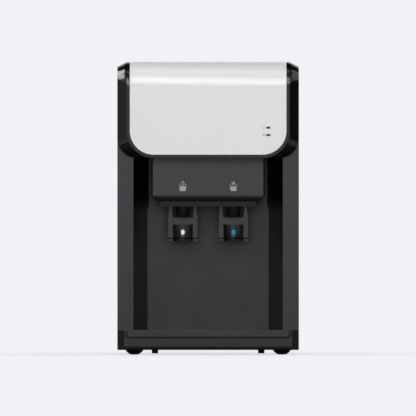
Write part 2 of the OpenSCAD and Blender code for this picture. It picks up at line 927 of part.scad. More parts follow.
module tap_housing() {
    rib_y = y_chin_back + chin_lap + seam;
    rib_z = barb_z + hose_r + 1 + wall;
    color(charcoal)
    difference() {
        union() {
            difference() {
                intersection() {
                    extrude_x(-house_back_half, house_back_half) house_profile(0);
                    translate([0, 0, z_house]) linear_extrude(house_h) house_plan(0);
                }
                house_corners(0);
                difference() {
                    intersection() {
                        extrude_x(-house_back_half, house_back_half) house_profile(wall);
                        translate([0, 0, z_house]) linear_extrude(house_h + 1) house_plan(wall);
                    }
                    house_corners(wall);
                }
            }
            block([-chin_half, rib_y, z_house], [chin_half, y_splash, rib_z]);
        }
        block(
            [-chin_half - seam, y_chin - seam, z_house - 1],
            [chin_half + seam, y_chin_back + seam, z_house + wall + 1]
        );
        hose_passages(y_chin_back - wall);
    }
}

// Where each tap stands, at the level of its valve seat
module at_tap(side) {
    translate([side * tap_x, tap_y, z_seat]) children();
}

module tap_carrier() {
    z_flange = z_house + wall;
    slot_y0 = pivot_y - arm_half_d - slide_gap;
    slot_y1 = pivot_y + arm_half_d + pivot_h * tan(lever_swing) + 2;
    color(charcoal) {
        difference() {
            union() {
                block([-chin_half, y_chin, z_chin], [chin_half, y_chin_back, z_flange + chin_flange]);
                difference() {
                    block(
                        [-chin_half - chin_lap, y_chin, z_flange],
                        [chin_half + chin_lap, y_chin_back + chin_lap, z_flange + chin_flange]
                    );
                    house_corners(wall);
                }
            }
            block(
                [-chin_half + wall, y_chin + wall, z_seat],
                [chin_half - wall, y_chin_back - wall, z_flange + chin_flange + 1]
            );
            hose_passages(y_chin_back - 2 * wall);
            for (side = [-1, 1]) {
                at_tap(side) rod_z([0, 0, -wall - 1], collar_r + seam / 3, wall + 2);
                for (arm = [-1, 1]) {
                    x = side * tap_x + arm * (arm_out - arm_t / 2);
                    block(
                        [x - arm_t / 2 - slide_gap, slot_y0, z_chin - 1],
                        [x + arm_t / 2 + slide_gap, slot_y1, z_seat + 1]
                    );
                }
            }
        }
        for (side = [-1, 1], arm = [-1, 1]) {
            x = side * tap_x + arm * (arm_out + ear_gap + ear_t / 2);
            difference() {
                union() {
                    block(
                        [x - ear_t / 2, pivot_y - hub_r, z_seat - 1],
                        [x + ear_t / 2, pivot_y + hub_r, pivot_z]
                    );
                    rod_x([x - ear_t / 2, pivot_y, pivot_z], hub_r, ear_t);
                }
                rod_x([x - ear_t, pivot_y, pivot_z], pin_r + pin_fit, 2 * ear_t);
            }
        }
    }
}

module lever_pins() {
    reach = arm_out + ear_gap + ear_t;
    color(steel) for (side = [-1, 1]) rod_x([side * tap_x - reach, pivot_y, pivot_z], pin_r, 2 * reach);
}

// The lever, drawn about its pivot: hub, finger, two arms and a paddle with a concave trough
module lever() {
    w = lever_w / 2;
    inner = trough_half;
    z0 = -lever_l;
    z1 = z0 + paddle_h;
    neck_z = z1 + 14;
    back = 1;
    bridge_y = -4;
    shell_t = 2.5;
    axis_y = trough_edge + trough_sag - trough_r;
    finger_half = 4;
    lip = 5;
    groove = 0.8;
    groove_d = 1.5;
    difference() {
        union() {
            rod_x([-arm_out, 0, 0], hub_r, 2 * arm_out);
            block([-finger_half, -finger_l, -nose_drop - nose_r / 2], [finger_half, 0, hub_r / 2]);
            rod_x([-finger_half, -finger_l, -nose_drop], nose_r, 2 * finger_half);
            both_sides() {
                extrude_y(-arm_half_d, arm_half_d) polygon([
                    [arm_out - arm_t, 0], [arm_out, 0], [arm_out, neck_z], [w, z1], [w, z1 - 1],
                    [inner, z1 - 1], [inner, z1], [arm_out - arm_t, neck_z]
                ]);
                block([inner, lever_face, z0], [w, back, z1]);
            }
            block([-inner - 1, bridge_y, z1 - bridge_h], [inner + 1, back, z1]);
            intersection() {
                difference() {
                    rod_z([0, axis_y, z0], trough_r + shell_t, paddle_h - bridge_h + 1);
                    rod_z([0, axis_y, z0 - 1], trough_r, paddle_h);
                }
                block(
                    [-inner - 0.5, trough_edge - 1, z0],
                    [inner + 0.5, axis_y + trough_r + shell_t, z1]
                );
            }
        }
        rod_x([-w, 0, 0], pin_r + pin_fit, lever_w);
        block([-w - 1, lever_face - 1, z0 + lip], [w + 1, lever_face + groove_d, z0 + lip + groove]);
        lever_mark(seam / 3);
    }
}

// The colour mark in the trough, or its pocket when grown by a gap
module lever_mark(gap) {
    y = trough_edge + trough_sag;
    z = -lever_l + mark_rise;
    extrude_y(y - mark_proud, y + mark_depth) translate([0, z - mark_h / 2 - gap]) rotate(90)
        slot_2d(mark_h + 2 * gap, mark_w + 2 * gap);
}

module at_pivot(side) {
    translate([side * tap_x, pivot_y, pivot_z]) children();
}

module lever_left() {
    color(lever_grey) at_pivot(-1) lever();
}

module lever_right() {
    color(lever_grey) at_pivot(1) lever();
}

module lever_mark_left() {
    color("#f2f2f2") at_pivot(-1) lever_mark(0);
}

module lever_mark_right() {
    color("#159fe0") at_pivot(1) lever_mark(0);
}

// Valve, nozzle and plunger, drawn about the valve seat

module valve_body() {
    floor_t = 4;
    cap_t = 3;
    barb_h = barb_z - z_seat;
    flange_t = 2.5;
    difference() {
        union() {
            cylinder(r = valve_r, h = valve_h);
            cylinder(r = valve_r + 1.5, h = flange_t);
            rod_y([0, 0, barb_h], spigot_r, y_barb - tap_y);
        }
        rod_z([0, 0, floor_t], chamber_r, valve_h - floor_t - cap_t);
        rod_z([0, 0, -1], seat_r, floor_t + 2);
        rod_z([0, 0, 0], stem_r + gland_fit, valve_h + 1);
        rod_y([0, 0, barb_h], spigot_bore, y_barb - tap_y + 1);
    }
}

module nozzle() {
    cavity_r = collar_r - 1.4;
    rotate_extrude() polygon([
        [nozzle_bore_r, -wall - nozzle_l], [nozzle_tip_r, -wall - nozzle_l], [nozzle_r, -wall],
        [collar_r, -wall], [collar_r, 0], [cavity_r, 0], [cavity_r, -wall - nozzle_l / 2]
    ]);
}

module plunger() {
    z_low = -seam - seal_t;
    stop_t = 1.2;
    rod_z([0, 0, z_low - 0.5], stem_r, z_stem_top - z_seat - z_low + 0.5 - stem_head_t / 2);
    rod_z([0, 0, z_stem_head - z_seat], stem_head_r, stem_head_t);
    rod_z([0, 0, z_low - stop_t], stem_r * 2, stop_t);
}

module valve_seal() {
    translate([0, 0, -seam - seal_t]) difference() {
        cylinder(r = seal_r, h = seal_t);
        rod_z([0, 0, -1], stem_r, seal_t + 2);
    }
}

spring_r = stem_r + 2;
spring_rings = 8;
spring_z = z_valve_top + spring_wire_r + 0.1;
spring_pitch = (z_stem_head - z_valve_top - 2 * spring_wire_r - 0.2) / spring_turns;
echo(valve_spring_gap = helix_gap(spring_r, spring_pitch, spring_wire_r, spring_rings));

module valve_spring(side) {
    color(steel) translate([side * tap_x, tap_y, spring_z])
        helix_tube(spring_r, spring_pitch, spring_turns, spring_wire_r, spring_rings);
}

module valve_body_left() {
    color(natural) at_tap(-1) valve_body();
}

module valve_body_right() {
    color(natural) at_tap(1) valve_body();
}

module nozzle_left() {
    color(gloss_black) at_tap(-1) nozzle();
}

module nozzle_right() {
    color(gloss_black) at_tap(1) nozzle();
}

module plunger_left() {
    color(natural) at_tap(-1) plunger();
}

module plunger_right() {
    color(natural) at_tap(1) plunger();
}

module valve_seal_left() {
    color(rubber_black) at_tap(-1) valve_seal();
}

module valve_seal_right() {
    color(rubber_black) at_tap(1) valve_seal();
}

module valve_spring_left() {
    valve_spring(-1);
}

module valve_spring_right() {
    valve_spring(1);
}

// Chassis and compressor in the lower half

saddle_x = comp_r + 16;
saddle_y = comp_r - 8;
mount_r = 8;
bolt_r = 3;

module mount_places() {
    x = saddle_x - mount_r - 2;
    y = saddle_y - mount_r - 2;
    for (i = [-1, 1], j = [-1, 1]) translate([i * x, comp_y + j * y, 0]) children();
}

module chassis_plate() {
    color(steel) difference() {
        block(
            [-half + wall + 1, y_splash + wall + 1, base_floor],
            [half - wall - 1, y_rear - wall - 1, chassis_top]
        );
        mount_places() cylinder(r = bolt_r + seam, h = body_h);
        rear_foot_places() cylinder(r = foot_stud_r + 1, h = body_h);
    }
}

module compressor_saddle() {
    color(enamel_black) difference() {
        block([-saddle_x, comp_y - saddle_y, comp_z - sheet], [saddle_x, comp_y + saddle_y, comp_z]);
        mount_places() cylinder(r = mount_r - 2 + seam, h = body_h);
    }
}

module compressor_mounts() {
    head_t = 3;
    color(rubber_black) mount_places() {
        difference() {
            union() {
                rod_z([0, 0, chassis_top], mount_r, comp_z - sheet - chassis_top);
                rod_z([0, 0, chassis_top], mount_r - 2, comp_z - chassis_top + 1);
            }
            rod_z([0, 0, 0], bolt_r, comp_z + 10);
        }
    }
    color(steel) mount_places() {
        rod_z([0, 0, chassis_top], bolt_r - 0.05, comp_z + 1 - chassis_top);
        rod_z([0, 0, comp_z + 1], bolt_r * 2, head_t);
    }
}

module compressor_shell() {
    t = 3;
    r = comp_r;
    rim = 3;
    seam_h = comp_h * 0.55;
    box_half = 22;
    box_d = 14;
    box_h = 32;
    color(enamel_black) translate([0, comp_y, comp_z]) {
        difference() {
            union() {
                cylinder(r = r, h = comp_h - r / 2);
                translate([0, 0, comp_h - r / 2]) intersection() {
                    cylinder(r = r, h = r);
                    translate([0, 0, -r * 0.75]) sphere(r * 1.25);
                }
                rod_z([0, 0, seam_h - rim], r + rim, 2 * rim);
            }
            rod_z([0, 0, t], r - t, comp_h - r / 2 - t);
            translate([0, 0, comp_h - r / 2 - 0.01]) intersection() {
                cylinder(r = r - t, h = r);
                translate([0, 0, -r * 0.75]) sphere(r * 1.25 - t);
            }
        }
        block(
            [-box_half, -r - box_d, seam_h - box_h - 2 * rim],
            [box_half, -sqrt(r * r - box_half * box_half) + 0.5, seam_h - 2 * rim]
        );
    }
}

module compressor_motor() {
    stator_r = comp_r * 0.66;
    stator_h = comp_h * 0.42;
    pump_r = comp_r * 0.48;
    pump_h = comp_h * 0.28;
    color(copper) translate([0, comp_y, comp_z + 3]) {
        cylinder(r = stator_r, h = stator_h);
        rod_z([0, 0, stator_h], pump_r, pump_h);
    }
}

// Tank, its foam jacket and its frame

module tank_frame() {
    leg = half - wall - 3;
    z0 = shelf_z - sheet;
    color(steel) difference() {
        union() {
            block([-leg, y_splash + wall + 2, z0], [leg, y_rear - wall - 2, shelf_z]);
            both_sides() block(
                [leg - sheet, y_splash + wall + 2, chassis_top],
                [leg, y_rear - wall - 2, z0 + sheet / 2]
            );
        }
        rod_z([0, tank_y, z0 - 1], hose_r + 1, sheet + 2);
        both_sides() block([foam_half + 8, tank_y - 8, z0 - 1], [leg - sheet - 1, y_rear, shelf_z + 1]);
    }
}

module foam_jacket(y0, y1) {
    difference() {
        block([-foam_half, y0, shelf_z], [foam_half, y1, tank_top]);
        rod_z([0, tank_y, shelf_z + foam_floor], foam_bore, tank_top);
        rod_z([0, tank_y, shelf_z - 1], hose_r + 1, foam_floor + 2);
        for (side = [-1, 1]) rod_y(
            [side * tap_x, foam_y0 - 1, side > 0 ? cold_z : ambient_z], hose_r + 1.5, foam_bore
        );
        rod_x([0, tank_y, evap_top], pipe_r + 1, foam_half + 1);
        rod_x([-foam_half - 1, tank_y, evap_z], pipe_r + 1, foam_half + 1);
    }
}

module foam_front() {
    color(foam_white) foam_jacket(foam_y0, tank_y - seam / 2);
}

module foam_rear() {
    color(foam_white) foam_jacket(tank_y + seam / 2, foam_y1);
}

module water_tank() {
    rim_r = foam_bore + tank_rim;
    color(steel) difference() {
        translate([0, tank_y, 0]) {
            rotate_extrude() polygon([
                [0, tank_z], [tank_r, tank_z], [tank_r, tank_top], [rim_r, tank_top],
                [rim_r, tank_top + sheet], [tank_r - sheet, tank_top + sheet],
                [tank_r - sheet, tank_z + sheet], [0, tank_z + sheet]
            ]);
            for (side = [-1, 1]) difference() {
                rod_y(
                    [side * tap_x, y_spigot - tank_y, side > 0 ? cold_z : ambient_z],
                    spigot_r, tank_y - y_spigot
                );
                cylinder(r = tank_r - sheet / 2, h = body_h);
            }
            rod_z([0, 0, drain_spigot_z], spigot_r, tank_z + sheet / 2 - drain_spigot_z);
        }
        for (side = [-1, 1]) rod_y(
            [side * tap_x, y_spigot - 1, side > 0 ? cold_z : ambient_z], spigot_bore, tank_y - y_spigot
        );
        rod_z([0, tank_y, drain_spigot_z - 1], spigot_bore, tank_z + 2 * sheet - drain_spigot_z);
    }
}

module tank_baffle() {
    foot_z = tank_z + sheet;
    disc_r = tank_r - sheet - 2;
    disc_t = 2;
    pipe = 9;
    pipe_wall = 2;
    hole_r = 4;
    color(steel) translate([0, tank_y, 0]) difference() {
        union() {
            rod_z([0, 0, baffle_z], disc_r, disc_t);
            rod_z([0, 0, foot_z], pipe, baffle_z - foot_z + disc_t / 2);
        }
        rod_z([0, 0, foot_z - 1], pipe - pipe_wall, baffle_z - foot_z + disc_t + 2);
        for (a = [0 : 45 : 315]) rotate(a) rod_z([disc_r * 0.7, 0, baffle_z - 1], hole_r, disc_t + 2);
        rod_x([-pipe - 1, 0, foot_z + 2 * hole_r], hole_r, 2 * pipe + 2);
    }
}

module tank_gasket() {
    color(rubber_black) translate([0, tank_y, tank_top + sheet]) difference() {
        cylinder(r = foam_bore + tank_rim, h = gasket_t);
        rod_z([0, 0, -1], tank_r - sheet, gasket_t + 2);
    }
}

module tank_lid() {
    color(natural) difference() {
        rod_z([0, tank_y, lid_z], foam_bore + tank_rim + 2, wall);
        rod_z([float_x, tank_y, lid_z - 1], float_body_r + seam / 3, wall + 2);
    }
}

echo(evaporator_gap = helix_gap(evap_mid_r, evap_pitch, evap_r, evap_rings));

module evaporator() {
    color(copper) translate([0, tank_y, evap_z]) mirror([1, 0, 0])
        helix_tube(evap_mid_r, evap_pitch, evap_turns + 0.5, evap_r, evap_rings);
}

module float_valve() {
    ear = 2.5;
    fork = 4;
    ear_half = 3;
    clear = 6;
    nut_r = 12;
    nut_t = 3;
    neck_r = 7;
    neck_h = 14;
    stub_l = 26;
    jet_r = 2;
    color(natural) translate([float_x, tank_y, 0]) difference() {
        union() {
            rod_z([0, 0, float_pivot_z + clear], float_body_r, lid_z + wall - float_pivot_z - clear + 1);
            rod_z([0, 0, lid_z + wall], nut_r, nut_t);
            rod_z([0, 0, lid_z + wall], neck_r, neck_h);
            rod_x([-stub_l, 0, inlet_z], spigot_r, stub_l);
            for (side = [-1, 1]) block(
                [-ear_half, side > 0 ? fork : -fork - ear, float_pivot_z - ear_half],
                [ear_half, side > 0 ? fork + ear : -fork, float_pivot_z + clear + 2]
            );
            rod_y([0, -fork - ear, float_pivot_z], float_pin_r, 2 * (fork + ear));
        }
        rod_x([-stub_l - 1, 0, inlet_z], spigot_bore, stub_l + 1);
        rod_z([0, 0, float_pivot_z + clear - 1], jet_r, inlet_z - float_pivot_z - clear + 1);
    }
}

float_l = 52;
float_drop = 27;
float_ball_r = 14;

module float_arm() {
    hub = 3;
    hub_half = 3.6;
    rod_r = 1.6;
    color(natural) translate([float_x, tank_y, float_pivot_z]) rotate([0, float_drop, 0]) {
        difference() {
            union() {
                rod_y([0, -hub_half, 0], hub, 2 * hub_half);
                rod_x([0, 0, 0], rod_r, float_l);
                translate([float_l, 0, 0]) sphere(float_ball_r);
            }
            rod_y([0, -hub_half - 1, 0], float_pin_r + gland_fit, 2 * hub_half + 2);
        }
    }
}

// Hoses and refrigerant pipes

module ambient_hose() {
    color(natural) hose([
        [-tap_x, y_spigot + hose_lap, ambient_z], [-tap_x, hose_mid_y, ambient_z],
        [-tap_x, hose_mid_y, barb_z], [-tap_x, y_barb - hose_lap, barb_z]
    ], hose_bend);
}

module cold_hose() {
    color(natural) hose([
        [tap_x, y_spigot + hose_lap, cold_z], [tap_x, hose_mid_y, cold_z],
        [tap_x, hose_mid_y, barb_z], [tap_x, y_barb - hose_lap, barb_z]
    ], hose_bend);
}

module drain_hose() {
    color(natural) hose([
        [0, tank_y, drain_spigot_z + hose_lap], [0, tank_y, drain_hose_z], [-drain_x, tank_y, drain_hose_z],
        [-drain_x, tank_y, low_z], [-drain_x, y_fitting - seam, low_z]
    ], hose_bend);
}

module inlet_hose() {
    color(natural) hose([
        [-inlet_x, y_fitting - seam, inlet_z], [-inlet_x, tank_y, inlet_z], [float_x - 12, tank_y, inlet_z]
    ], hose_bend);
}

drier_r = 9;
pipe_bend = 10;
capillary_r = 1.5;
capillary_bend = 6;

module refrigerant_pipes() {
    reach = evap_mid_r + evap_r + seam;
    suction_x = foam_half + 16;
    z_out = comp_z + comp_h * 0.35;
    z_hot = comp_z + comp_h * 0.7;
    y_dry = pipe_y - 4;
    drier_l = y_dry - tank_y - capillary_bend - 2;
    color(copper) {
        route([
            [reach, tank_y, evap_top], [suction_x, tank_y, evap_top],
            [suction_x, tank_y, z_out], [comp_r + seam, tank_y, z_out]
        ], pipe_r, pipe_bend);
        route([
            [0, comp_y + comp_r + seam, z_hot], [0, pipe_y, z_hot], [pipe_x, pipe_y, z_hot],
            [pipe_x, pipe_y, cond_top], [pipe_x, y_cond, cond_top], [cond_lead_x, y_cond, cond_top]
        ], cond_r, pipe_bend);
        route([
            [-cond_lead_x, y_cond, cond_z], [-pipe_x, y_cond, cond_z], [-pipe_x, y_dry - 1, cond_z]
        ], cond_r, pipe_bend);
        rod_y([-pipe_x, y_dry - drier_l, cond_z], drier_r, drier_l);
        route([
            [-pipe_x, y_dry - drier_l + 1, cond_z], [-pipe_x, tank_y, cond_z],
            [-pipe_x, tank_y, evap_z], [-reach, tank_y, evap_z]
        ], capillary_r, capillary_bend);
    }
}

// Back of the cabinet

module condenser_tube() {
    bend = cond_pitch / 2;
    lead = cond_lead_x - cond_half;
    color(enamel_black) {
        for (i = [0 : cond_runs - 1]) {
            left = i == 0 ? lead : 0;
            right = i == cond_runs - 1 ? lead : 0;
            rod_x([-cond_half - left, y_cond, cond_z + i * cond_pitch], cond_r, cond_run_l + left + right);
        }
        for (i = [0 : cond_runs - 2]) {
            side = i % 2 == 0 ? 1 : -1;
            translate([side * cond_half, y_cond, cond_z + (i + 0.5) * cond_pitch])
                rotate([90, 0, 0]) rotate([0, 0, -90 * side])
                rotate_extrude(angle = 180) translate([bend, 0]) circle(cond_r);
        }
    }
}

bracket_zone = 14;

module condenser_wires() {
    count = floor((cond_run_l - 2 * bracket_zone) / cond_wire_pitch);
    over = 7;
    off = cond_r + cond_wire_r + 0.05;
    color(enamel_black) for (i = [0 : count]) rod_z(
        [(i - count / 2) * cond_wire_pitch, y_cond + (i % 2 == 0 ? off : -off), cond_z - over],
        cond_wire_r, cond_top - cond_z + 2 * over
    );
}

// Folded brackets that hold the tube off the rear panel, outside the wires
module condenser_brackets() {
    w = 9;
    t = 1.5;
    plate_h = 20;
    x = cond_half - bracket_zone / 2 + 1;
    tongue = 8;
    y_tongue = y_cond + tongue / 2;
    screw_r = 3.2;
    screw_t = 2;
    color(enamel_black) both_sides() for (i = [1, cond_runs - 2]) {
        z = cond_z + i * cond_pitch;
        z_arm = z + cond_r + 0.1;
        block([x - w / 2, y_rear, z_arm], [x + w / 2, y_rear + t, z_arm + plate_h]);
        block([x - w / 2, y_rear, z_arm], [x + w / 2, y_tongue, z_arm + t]);
        block([x - w / 2, y_tongue - t, z - tongue / 2], [x + w / 2, y_tongue, z_arm + t]);
        rod_y([x, y_rear + t / 2, z_arm + plate_h * 0.65], screw_r, t / 2 + screw_t);
    }
}

module wall_spacers() {
    x = half - 18;
    foot_r = 9;
    foot_t = 4;
    post_r = 6;
    color(charcoal) both_sides() for (z = [base_top + spacer_rise, inlet_z]) {
        rod_y([x, y_rear, z], foot_r, foot_t);
        rod_y([x, y_rear + 1, z], post_r, standoff - 1);
    }
}

module rear_fittings() {
    neck_l = y_rear - y_fitting + 1;
    stub_l = 10;
    body_r = 9;
    body_l = 14;
    release_r = 5.5;
    release_l = 4;
    cap_r = 11;
    grip_r = 2;
    // Push-fit water inlet with its release collar
    color(natural) difference() {
        union() {
            rod_y([-inlet_x, y_rear, inlet_z], body_r, body_l);
            rod_y([-inlet_x, y_rear + body_l - 1, inlet_z], release_r, release_l + 1);
            rod_y([-inlet_x, y_fitting, inlet_z], inlet_neck_r, neck_l);
            rod_y([-inlet_x, y_fitting - stub_l, inlet_z], spigot_r, stub_l + 2);
        }
        rod_y([-inlet_x, y_rear, inlet_z], inlet_r, standoff);
        rod_y([-inlet_x, y_fitting - stub_l - 1, inlet_z], spigot_bore, standoff);
    }
    // Drain stub with its screw cap
    color(natural) {
        difference() {
            union() {
                rod_y([-drain_x, y_fitting, low_z], low_neck_r, neck_l);
                rod_y([-drain_x, y_fitting - stub_l, low_z], spigot_r, stub_l + 2);
            }
            rod_y([-drain_x, y_fitting - stub_l - 1, low_z], spigot_bore, neck_l + stub_l - 1);
        }
        difference() {
            rod_y([-drain_x, y_rear, low_z], cap_r, body_l);
            for (a = [0 : 30 : 330]) translate([-drain_x, y_rear - 1, low_z]) rotate([0, a, 0])
                rod_y([cap_r + grip_r * 0.6, 0, 0], grip_r, body_l + 2);
        }
    }
    // Cord gland
    gland_back = wall + 8;
    gland_cap_r = 8.5;
    gland_cap_l = 12;
    gland_ring_t = 4;
    color(gloss_black) difference() {
        union() {
            rod_y([gland_x, y_rear - gland_back, low_z], low_neck_r, gland_back + 1);
            rod_y([gland_x, y_rear, low_z], cap_r, gland_ring_t);
            rod_y([gland_x, y_rear + 1, low_z], gland_cap_r, gland_cap_l - 1);
        }
        rod_y([gland_x, y_rear - gland_back - 1, low_z], cord_r, gland_back + gland_cap_l + 2);
    }
    // Switch frame
    switch_d = wall + 18;
    well_d = wall + 10;
    rim_w = 2.5;
    rim_t = 2;
    color(gloss_black) difference() {
        union() {
            block(
                [switch_x - switch_w / 2, y_rear - switch_d, low_z - switch_h / 2],
                [switch_x + switch_w / 2, y_rear + rim_t / 2, low_z + switch_h / 2]
            );
            block(
                [switch_x - switch_w / 2 - rim_w, y_rear, low_z - switch_h / 2 - rim_w],
                [switch_x + switch_w / 2 + rim_w, y_rear + rim_t, low_z + switch_h / 2 + rim_w]
            );
        }
        block(
            [switch_x - switch_w / 2 + switch_wall, y_rear - well_d, low_z - switch_h / 2 + 1],
            [switch_x + switch_w / 2 - switch_wall, y_rear + rim_t + 1, low_z + switch_h / 2 - 1]
        );
        rod_x([switch_x - switch_w / 2, rocker_y, low_z], rocker_pin_r + pin_fit, switch_w);
    }
}

module switch_rocker() {
    w = switch_w / 2 - switch_wall - slide_gap;
    face = 6;
    lift = 1.2;
    tip = rocker_r - 1.5;
    heel_r = 4;
    heel = 3;
    color(gloss_black) translate([switch_x, rocker_y, low_z]) rotate([rocker_tilt, 0, 0]) {
        extrude_x(-w, w) {
            polygon([[-heel_r, -heel], [-heel_r, heel], [face + lift, tip], [face, 0], [face + lift, -tip]]);
            circle(heel_r);
        }
        rod_x([-switch_w / 2 + seam, 0, 0], rocker_pin_r, switch_w - 2 * seam);
    }
}

base_moulding();
front_feet();
rear_feet();
drip_tray();
drip_grille();
side_panel_left();
side_panel_right();
cheek_left();
cheek_right();
splash_back();
head_bezel();
fascia_panel();
top_cover();
rear_panel();
power_lens();
cooling_lens();
indicator_board();
tap_housing();
tap_carrier();
lever_pins();
lever_left();
lever_right();
lever_mark_left();
lever_mark_right();
valve_body_left();
valve_body_right();
nozzle_left();
nozzle_right();
plunger_left();
plunger_right();
valve_seal_left();
valve_seal_right();
valve_spring_left();
valve_spring_right();
chassis_plate();
compressor_shell();
compressor_motor();
compressor_saddle();
compressor_mounts();
tank_frame();
foam_front();
foam_rear();
water_tank();
tank_baffle();
tank_gasket();
tank_lid();
evaporator();
float_valve();
float_arm();
ambient_hose();
cold_hose();
drain_hose();
inlet_hose();
refrigerant_pipes();
condenser_tube();
condenser_wires();
condenser_brackets();
wall_spacers();
rear_fittings();
switch_rocker();
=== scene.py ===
"""Looks of a benchtop water cooler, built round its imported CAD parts.

Units are metres. Z is up, the taps face -Y, and the worktop is Z = 0.
"""

import logging
import math
from dataclasses import dataclass, field
from enum import Enum
from typing import Any, Mapping, Optional, Sequence

import bmesh
import bpy
from mathutils import Matrix, Vector


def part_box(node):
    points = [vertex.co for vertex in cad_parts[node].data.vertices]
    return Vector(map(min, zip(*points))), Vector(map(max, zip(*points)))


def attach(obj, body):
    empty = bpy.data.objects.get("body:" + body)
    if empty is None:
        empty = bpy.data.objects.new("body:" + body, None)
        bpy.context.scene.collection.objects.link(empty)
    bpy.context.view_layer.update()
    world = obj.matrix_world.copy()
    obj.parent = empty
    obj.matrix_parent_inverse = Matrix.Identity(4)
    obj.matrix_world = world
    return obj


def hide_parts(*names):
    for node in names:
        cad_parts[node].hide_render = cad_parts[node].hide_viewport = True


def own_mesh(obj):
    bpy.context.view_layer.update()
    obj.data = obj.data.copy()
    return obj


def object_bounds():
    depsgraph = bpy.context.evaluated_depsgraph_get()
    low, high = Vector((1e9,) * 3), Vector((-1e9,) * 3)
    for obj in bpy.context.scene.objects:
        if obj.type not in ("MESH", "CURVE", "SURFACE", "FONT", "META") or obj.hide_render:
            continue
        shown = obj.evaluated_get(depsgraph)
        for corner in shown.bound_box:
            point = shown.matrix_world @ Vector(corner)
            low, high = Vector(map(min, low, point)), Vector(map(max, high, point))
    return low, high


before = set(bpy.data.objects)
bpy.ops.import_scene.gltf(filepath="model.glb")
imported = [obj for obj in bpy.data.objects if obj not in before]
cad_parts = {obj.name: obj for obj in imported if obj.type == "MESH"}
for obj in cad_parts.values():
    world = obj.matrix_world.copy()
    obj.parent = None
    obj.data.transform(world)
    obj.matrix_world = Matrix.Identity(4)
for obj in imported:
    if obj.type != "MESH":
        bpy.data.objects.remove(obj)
CAD_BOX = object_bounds()
CAD_MIDDLE = (CAD_BOX[0] + CAD_BOX[1]) / 2
LOG = logging.getLogger("water_cooler")

MM = 0.001
SIDES = ("left", "right")
# Corners that are nearer to each other than this are one corner.
WELD = 0.002 * MM
# Two sides of an outline whose directions agree this closely (as a cosine) are one straight side.
STRAIGHT = 0.99999
# Angles in degrees, anticlockwise from the right.
TOP_DEG = 90.0
TURN_DEG = 360.0
# Decimals of a metre to which corners are put in order.
ORDER_DIGITS = 6
# Numbers of a Mix node's inputs and of its output, when it mixes colours.
MIX_SHARE = 0
MIX_FIRST = 6
MIX_SECOND = 7
MIX_RESULT = 2

Point = tuple[float, float]
Spot = tuple[float, float, float]
Ring = list[bmesh.types.BMVert]


def srgb(code: str) -> tuple[float, float, float, float]:
    """Turn a colour such as "#c9cbcd" into linear red, green, blue and alpha.

    Args:
        code: The sRGB hex value.

    Returns:
        The linear colour with full alpha.
    """
    parts = [int(code[i : i + 2], 16) / 255 for i in (1, 3, 5)]
    linear = [c / 12.92 if c <= 0.04045 else ((c + 0.055) / 1.055) ** 2.4 for c in parts]
    return (linear[0], linear[1], linear[2], 1.0)


def add_node(
    tree: bpy.types.NodeTree,
    kind: str,
    settings: Optional[Mapping[str, Any]] = None,
    values: Optional[Mapping[Any, Any]] = None,
    links: Optional[Mapping[Any, bpy.types.NodeSocket]] = None,
) -> bpy.types.Node:
    """Add one node to a tree.

    Args:
        tree: The node tree.
        kind: Blender's name of the node type.
        settings: Properties of the node.
        values: Constant values of its inputs, by name or number.
        links: Outputs of other nodes that feed its inputs, by name or number.

    Returns:
        The new node.
    """
    node = tree.nodes.new(kind)
    for name, value in (settings or {}).items():
        setattr(node, name, value)
    for name, value in (values or {}).items():
        node.inputs[name].default_value = value
    for name, source in (links or {}).items():
        tree.links.new(source, node.inputs[name])
    return node


def empty_tree(owner: bpy.types.Material | bpy.types.World) -> bpy.types.NodeTree:
    """Clear the nodes of a new material or world.

    Args:
        owner: The material or the world.

    Returns:
        Its empty node tree.
    """
    owner.use_nodes = True
    owner.node_tree.nodes.clear()
    return owner.node_tree


def per_metre(size_mm: float) -> float:
    """Scale of a texture whose features are size_mm across."""
    return 1 / (size_mm * MM)


class Pattern(Enum):
    """How a surface was made, which sets the pattern it shows."""

    SPARK_GRAIN = "moulded in a spark-eroded tool"
    POLISHED = "moulded in a polished tool"
    METALLIC_PAINT = "sprayed with metallic paint"
    BRUSHED = "rolled and brushed"
    ENAMEL = "dipped or sprayed, then baked"
    DRAWN = "drawn through a die"
    BEADS = "moulded from expanded beads"
    WINDINGS = "wound from wire"
    ETCHED = "etched with tracks"
    PRINTED = "pad printed"


# How far a grain is drawn out along each axis: a scale below 1 makes it longer. Others are even.
GRAIN_SCALE = {Pattern.BRUSHED: (1.0, 0.03, 1.0), Pattern.DRAWN: (1.0, 1.0, 0.2)}
EVEN_SCALE = (1.0, 1.0, 1.0)
# Octaves of the noise: a spark-eroded grain is the roughest.
GRAIN_DETAIL = {Pattern.SPARK_GRAIN: 4.0}
PLAIN_DETAIL = 1.5
# How far the turns of wire wander, and how wide the gap between etched tracks is, in pattern sizes.
TURN_WANDER = 1.0
TRACK_GAP = 0.12
# Every finish also drifts slowly in tone across its surface.
DRIFT_MM = 60.0
DRIFT_DETAIL = 2.0
# The pattern's share beside the drift, and where in their sum the shade and the full colour lie.
PATTERN_SHARE = 0.45
SHADE_AT = 0.35
COLOUR_AT = 1.1
# How far the roughness moves either way with the tone, as a share of itself.
ROUGHNESS_DRIFT = 0.12


